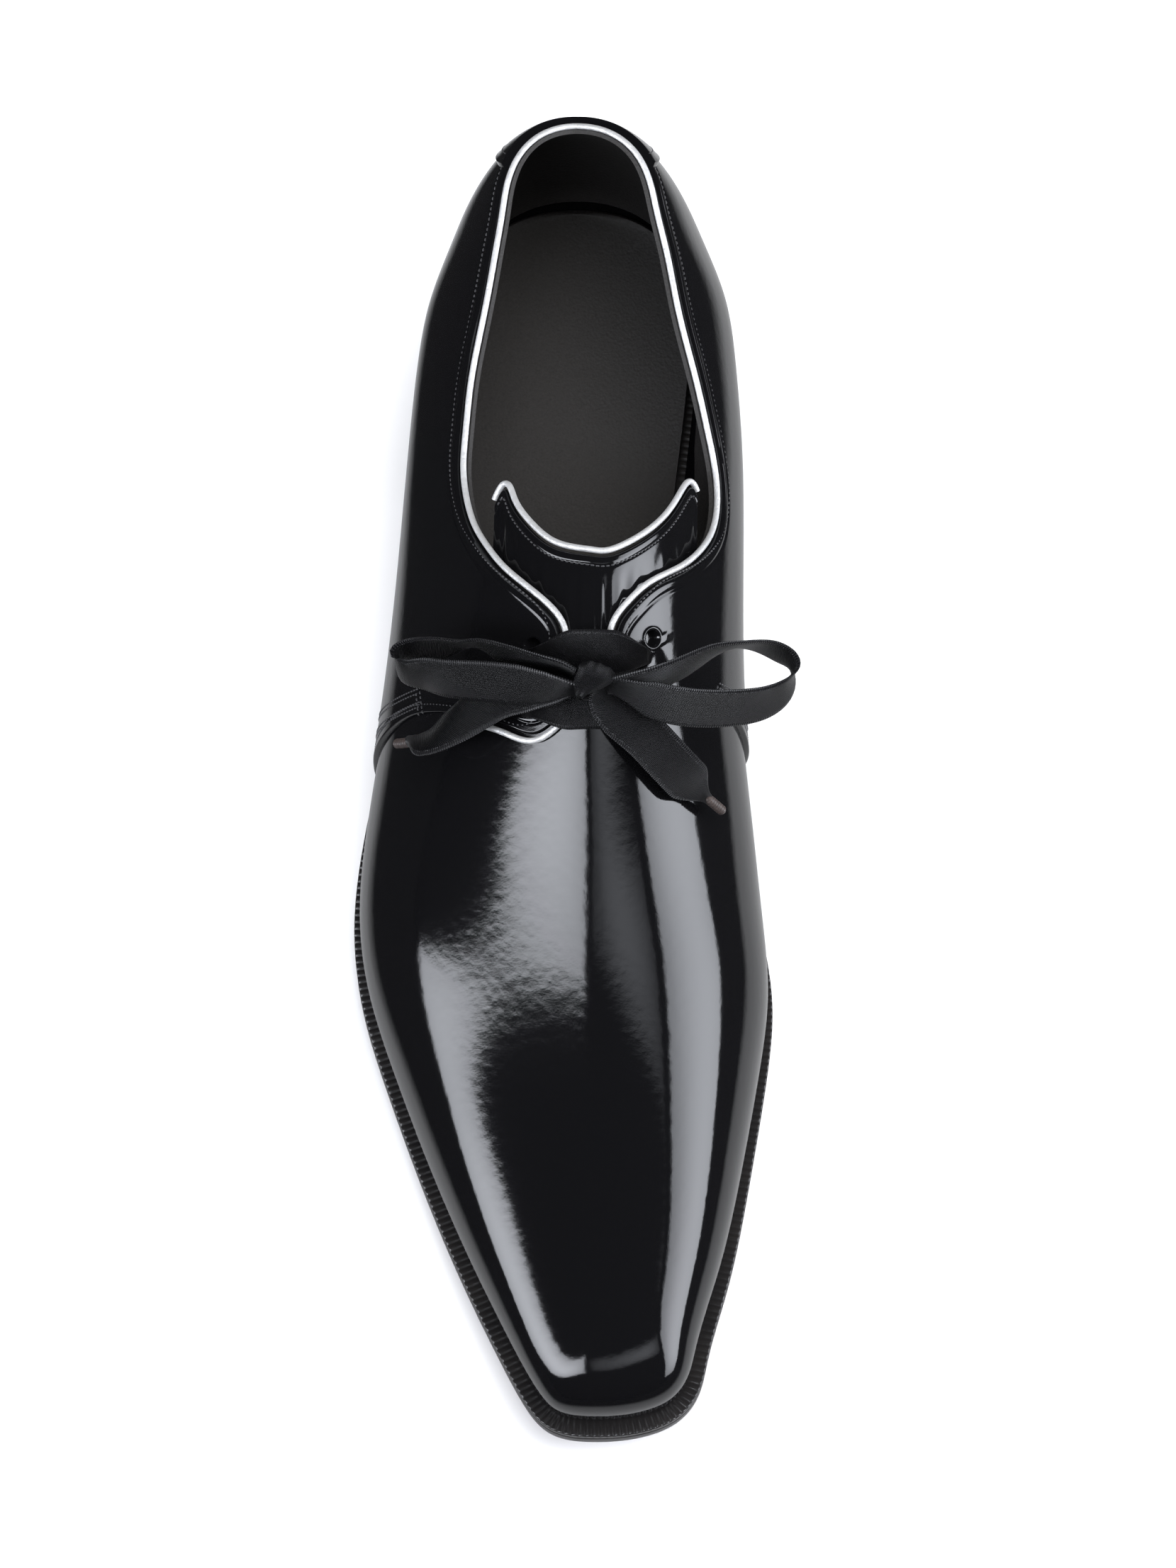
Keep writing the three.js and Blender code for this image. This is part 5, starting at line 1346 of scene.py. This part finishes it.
lateral_w = np.linspace(PIPED_FRONT_W, 1, 60)[:-1]
medial_w = np.linspace(PIPED_MEDIAL_W, 1, 60)[:-1]
piping_s = np.concatenate([-np.ones(59), np.linspace(-1, 1, 700), np.ones(59)])
piping_w = np.concatenate([lateral_w, np.ones(700), medial_w[::-1]])
piping_t, piping_v = quarter_place(piping_s, piping_w, EDGE_ROOM)
inner_t, inner_v = quarter_place(piping_s * 0.95, piping_w * 0.95, EDGE_ROOM)
on_vamp = smooth_step(np.abs(piping_t), THROAT_T - 1.3 * PIPING_RAMP, THROAT_T - 0.3 * PIPING_RAMP)
piping_middle = (QUARTER_STEP - QUARTER_LINING) / 2
piping_rise = piping_middle + (EDGE_ROOM + FACET_ROOM - piping_middle) * on_vamp
piping_line = beside_edge(piping_t, piping_v, piping_rise, EDGE_ROOM, last_point(inner_t, inner_v))
collar_trim = piping_piece("collar_trim", piping_line)
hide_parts("collar_piping")
tongue_mark = np.linspace(0.005, 0.995, 300)
edge_t, edge_v = tongue_place(tongue_mark, 1.0, EDGE_ROOM)
under_t, under_v = tongue_place(tongue_mark, 0.9, EDGE_ROOM)
tongue_rise = np.full(300, -TONGUE_DEPTH - TONGUE_THICKNESS / 2)
tongue_line = beside_edge(edge_t, edge_v, tongue_rise, EDGE_ROOM, last_point(under_t, under_v))
tongue_trim = piping_piece("tongue_trim", tongue_line)
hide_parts("tongue_piping")

# Lace bars
# The same ribbon where it crosses the throat between the eyelets, drawn flat over both facings.
BARS = [
    {"name": "lace_crossing_upper", "node": "lace_bar_upper", "t": 0.448,
     "over": QUARTER_STEP, "sag": 1.0},
    {"name": "lace_crossing_lower", "node": "lace_bar_lower", "t": 0.485,
     "over": PIPING_WIDTH + 0.6, "sag": 0.0},
]
BAR_LATERAL_V = 0.84
BAR_MEDIAL_V = 0.795


def lace_crossing(bar):
    """Ribbon over the ridge between the facings; its width goes as 1 - 0.72 step(|along|)."""
    reach = float(girth_share(np.array(bar["t"]), np.array(0.9), RIBBON_WIDTH / 2))
    u = np.linspace(-1, 1, 25)[:, None]
    along = np.linspace(-1, 1, 81)[None]
    v = 1 - np.where(along < 0, (1 - BAR_LATERAL_V), (1 - BAR_MEDIAL_V)) * np.abs(along)
    gather = 1 - 0.72 * smooth_step(np.abs(along), 0.3, 1.0)
    sag = 0.22 * (1 - along**2) * bar["sag"]
    t = np.where(along < 0, -1.0, 1.0) * (bar["t"] + (u * gather + sag) * reach)
    base = last_point(t, v)
    normal = last_normal(t, v)
    half = 0.5 * RIBBON_THICKNESS * np.sqrt(np.clip(1 - np.abs(u) ** 10, 0.02, 1))
    sunk = 1.6 * smooth_step(np.abs(along), 0.82, 1.0)
    middle = bar["over"] + CLEARANCE + RIBBON_THICKNESS / 2 + 0.5 * (1 - u**2) * gather - sunk
    uv = np.stack(np.broadcast_arrays(u * RIBBON_WIDTH / 2, along * 24.0), -1)
    upper = base + normal * (middle + half)[..., None]
    lower = base + normal * (middle - half)[..., None]
    return upper, lower, uv


for bar in BARS:
    bar_upper, bar_lower, bar_uv = lace_crossing(bar)
    bar_points, bar_faces = closed_shell(bar_upper, bar_lower)
    rim_uv = grid_rim(bar_uv, False)
    whole_uv = np.concatenate([bar_uv.reshape(-1, 2)] * 2 + [rim_uv] * 2)
    crossing = make_piece(
        bar["name"], bar_points, turned_out(bar_points, bar_faces), [satin], whole_uv
    )
    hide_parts(bar["node"])

# Stitching
# Waxed black thread: one row along every piped edge, double rows where the quarter meets the vamp.
STITCH_PITCH = 1.25
STITCH_LENGTH = 0.95
STITCH_WIDTH = 0.42
thread = new_material("waxed_thread", (0.01, 0.01, 0.011), 0.35)
thread_tree = thread.node_tree
thread_fibre = use_group(thread_tree, leather_fibre, Scale=2500.0, Stretch=1.0)
add_relief(thread, thread_fibre.outputs["Height"], 0.00006)
add_tones(thread_tree, thread_fibre.outputs["Tone"], (0.02, 0.02, 0.022), (0.06, 0.06, 0.064))


def stitch_row(line, normals, rings=7, sides=6):
    """Bead shapes a pitch apart along a line: half a sine long, half a circle high, sunk at both ends."""
    length = np.linalg.norm(np.diff(line, axis=0), axis=1)
    mark = np.concatenate([[0], np.cumsum(length)])
    spots = np.arange(STITCH_PITCH / 2, mark[-1], STITCH_PITCH)
    centre = read_line(spots, mark, line)
    run = unit(read_line(spots, mark, np.gradient(line, axis=0)))
    up = unit(read_line(spots, mark, normals))
    side = unit(np.cross(up, run))
    u = np.linspace(-1, 1, rings)[:, None]
    angle = np.linspace(0, 2 * np.pi, sides + 1)[None, :-1]
    girth = np.sqrt(np.clip(1 - u**4, 0, 1)) * STITCH_WIDTH / 2
    ahead = u * STITCH_LENGTH / 2 + 0 * angle
    across = girth * np.cos(angle)
    rise = girth * np.sin(angle) - 0.16 * u**2
    grid = (
        centre[:, None, None]
        + ahead[None, ..., None] * run[:, None, None]
        + across[None, ..., None] * side[:, None, None]
        + rise[None, ..., None] * up[:, None, None]
    )
    cells = sheet_faces(rings, sides, closed=True)[:, ::-1]
    starts = np.arange(len(spots)) * rings * sides
    return grid.reshape(-1, 3), (cells[None] + starts[:, None, None]).reshape(-1, 4)


def edge_seam(s, w, inset, rise):
    """Line on the quarters an inset in from their edge, raised over the last."""
    t, v = quarter_place(s, w, EDGE_ROOM + inset)
    normal = last_normal(t, v)
    return last_point(t, v) + normal * rise, normal


seam_rows = []
seam_s = np.concatenate([-np.ones(60), np.linspace(-1, 1, 900), np.ones(60)])
seam_w = np.concatenate([np.linspace(0.05, 1, 61)[:-1], np.ones(900), np.linspace(1, 0.05, 61)[1:]])
seam_rows.append(edge_seam(seam_s, seam_w, SEAM_IN, QUARTER_STEP - SEAM_DEPTH + 0.1))
BAR_TACK_ROWS = [
    {"from": (0.448, 0.543), "to": (0.438, 0.2)},
    {"from": (0.458, 0.556), "to": (0.4505, 0.2)},
    {"from": (0.448, 0.543), "to": (0.468, 0.567)},
]
for side in (-1.0, 1.0):
    for row in BAR_TACK_ROWS:
        for apart in (-0.0016, 0.0016):
            q = np.linspace(0, 1, 40)
            row_t = row["from"][0] * (1 - q) + row["to"][0] * q
            row_v = row["from"][1] * (1 - q) + row["to"][1] * q
            if row["to"][1] < 0.5:
                row_t = row_t + apart
            else:
                row_v = row_v + apart * 4
            row_normal = last_normal(side * row_t, row_v)
            row_line = last_point(side * row_t, row_v) + row_normal * (QUARTER_STEP + 0.02)
            seam_rows.append((row_line, row_normal))
strip_share = np.linspace(0.04, 0.97, 200)
for side in (-1.0, 1.0):
    strip_t = side * (0.024 + 0.05 * smooth_step(strip_share, 0.4, 1.0)) * 0.86
    strip_v = strip_share * collar_v(strip_t / front_t(1.0))
    strip_normal = last_normal(strip_t, strip_v)
    strip_line = last_point(strip_t, strip_v) + strip_normal * (QUARTER_STEP + TAB_STEP - 0.08)
    seam_rows.append((strip_line, strip_normal))
tongue_seam = np.linspace(0.02, 0.98, 300)
tongue_seam_t, tongue_seam_v = tongue_place(tongue_seam, 1.0, EDGE_ROOM + 2.3)
tongue_seam_normal = last_normal(tongue_seam_t, tongue_seam_v)
seam_rows.append((
    last_point(tongue_seam_t, tongue_seam_v) - tongue_seam_normal * (TONGUE_DEPTH + 0.08),
    tongue_seam_normal,
))
stitch_points = []
stitch_faces = []
stitch_start = 0
for line, normals in seam_rows:
    row_points, row_faces = stitch_row(line, normals)
    stitch_points.append(row_points)
    stitch_faces.append(row_faces + stitch_start)
    stitch_start += len(row_points)
stitching = make_piece(
    "stitching", np.concatenate(stitch_points), np.concatenate(stitch_faces), [thread]
)
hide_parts("upper")

# Floor and light
# A plain white floor under one broad light from above, which gives the soft shadow on the left.
# Soft boxes on the left, on the right and in front draw the bright shapes on the patent leather.
# In reflections the floor darkens away from the shoe, as on the leather's dark sides in the photo.
floor_mesh = bpy.data.meshes.new("floor")
floor_mesh.from_pydata([(-4, -4, 0), (4, -4, 0), (4, 4, 0), (-4, 4, 0)], [], [(0, 1, 2, 3)])
floor = bpy.data.objects.new("floor", floor_mesh)
bpy.context.collection.objects.link(floor)
floor_paper = new_material("floor_paper", (0.86, 0.86, 0.865), 0.95)
floor_tree = floor_paper.node_tree
floor_shader = floor_tree.nodes["Principled BSDF"]
floor_shader.inputs["Specular IOR Level"].default_value = 0.0
floor_place = floor_tree.nodes.new("ShaderNodeTexCoord")
floor_oval = node(
    floor_tree, "ShaderNodeVectorMath", {1: (1.0, 0.42, 1.0), 2: (-0.018, 0.0, 0.0)},
    operation="MULTIPLY_ADD",
)
floor_tree.links.new(floor_place.outputs["Object"], floor_oval.inputs[0])
floor_away = node(floor_tree, "ShaderNodeVectorMath", operation="LENGTH")
floor_tree.links.new(floor_oval.outputs[0], floor_away.inputs[0])
floor_far = node(floor_tree, "ShaderNodeMapRange", {"From Min": 0.06, "From Max": 0.105})
floor_tree.links.new(floor_away.outputs["Value"], floor_far.inputs["Value"])
# Painted reflection shade: for glossy rays only, the floor's colour is painted dark, about 0.35 near the
# shoe and near black farther off, while the camera still sees the floor evenly white.
floor_ray = floor_tree.nodes.new("ShaderNodeLightPath")
floor_less = sums(floor_tree, "MAXIMUM", floor_far.outputs[0], 0.6)
painted_reflection_shade = sums(floor_tree, "MULTIPLY", floor_ray.outputs["Is Glossy Ray"], floor_less)
add_tones(floor_tree, painted_reflection_shade, (0.86, 0.86, 0.865), (0.012, 0.012, 0.012))
floor_mesh.materials.append(floor_paper)


def lamp_glow_group():
    """Soft box's brightness: edge + 0.8 (1 - a^2)(1 - b^2), with a and b from -1 to 1 over its sides."""
    tree, entry, leave = new_group(
        "lamp_glow",
        [("Edge", "NodeSocketFloat", 0.65)],
        [("Strength", "NodeSocketFloat")],
    )
    place = tree.nodes.new("ShaderNodeNewGeometry")
    parts = tree.nodes.new("ShaderNodeSeparateXYZ")
    tree.links.new(place.outputs["Parametric"], parts.inputs[0])
    glow = []
    for axis in (0, 1):
        spread = sums(tree, "SUBTRACT", sums(tree, "MULTIPLY", parts.outputs[axis], 2.0), 1.0)
        fall = sums(tree, "POWER", sums(tree, "ABSOLUTE", spread, None), 2.0)
        glow.append(sums(tree, "SUBTRACT", 1.0, fall))
    middle = sums(tree, "MULTIPLY", sums(tree, "MULTIPLY", glow[0], glow[1]), 0.8)
    tree.links.new(sums(tree, "ADD", middle, entry.outputs["Edge"]), leave.inputs["Strength"])
    return tree


lamp_glow = lamp_glow_group()


def softbox(name, centre, long_side, short_side, watts, edge=0.65, in_reflections=True):
    """Rectangular light about a centre with two edge vectors, its face turned to the shoe."""
    centre, long_side, short_side = (np.array(v, float) for v in (centre, long_side, short_side))
    light = bpy.data.lights.new(name, "AREA")
    light.shape = "RECTANGLE"
    light.size = float(np.linalg.norm(long_side))
    light.size_y = float(np.linalg.norm(short_side))
    light.energy = watts
    light.color = (0.9, 0.93, 1.0) if in_reflections else (1.0, 1.0, 1.0)
    light.use_nodes = True
    light.node_tree.links.new(
        use_group(light.node_tree, lamp_glow, Edge=edge).outputs["Strength"],
        light.node_tree.nodes["Emission"].inputs["Strength"],
    )
    x_axis = unit(long_side)
    z_axis = unit(np.cross(long_side, short_side))
    if z_axis @ centre < 0:
        z_axis = -z_axis
    lamp = bpy.data.objects.new(name, light)
    turn = np.eye(4)
    turn[:3, 0] = x_axis
    turn[:3, 1] = np.cross(z_axis, x_axis)
    turn[:3, 2] = z_axis
    turn[:3, 3] = centre
    lamp.matrix_world = Matrix(turn.tolist())
    lamp.visible_glossy = in_reflections
    lamp.visible_camera = False
    bpy.context.collection.objects.link(lamp)
    return lamp


LIGHTS = [
    {"name": "softbox_left", "centre": (-0.987, -0.563, 0.807), "long_side": (1.483, -0.552, 1.589),
     "short_side": (-0.051, 0.358, 0.172), "watts": 19.0, "edge": 0.95},
    {"name": "softbox_right", "centre": (1.65, -0.242, 0.448), "long_side": (-0.138, 0.944, 1.017),
     "short_side": (-0.341, -1.06, 0.938), "watts": 34.0, "edge": 0.8},
    {"name": "softbox_front", "centre": (0.566, -0.698, 1.584), "long_side": (1.380, 0.444, -0.320),
     "short_side": (-0.055, 0.265, 0.130), "watts": 2.2, "edge": 0.25},
    {"name": "light_above", "centre": (0.55, 0.35, 2.2), "long_side": (2.2, 0.0, 0.0),
     "short_side": (0.0, 2.2, 0.0), "watts": 90.0, "in_reflections": False},
]
for lamp_row in LIGHTS:
    softbox(**lamp_row)
world = bpy.data.worlds.new("studio")
world.use_nodes = True
world.node_tree.nodes["Background"].inputs["Color"].default_value = (0.9, 0.92, 1.0, 1.0)
world.node_tree.nodes["Background"].inputs["Strength"].default_value = 0.008
bpy.context.scene.world = world
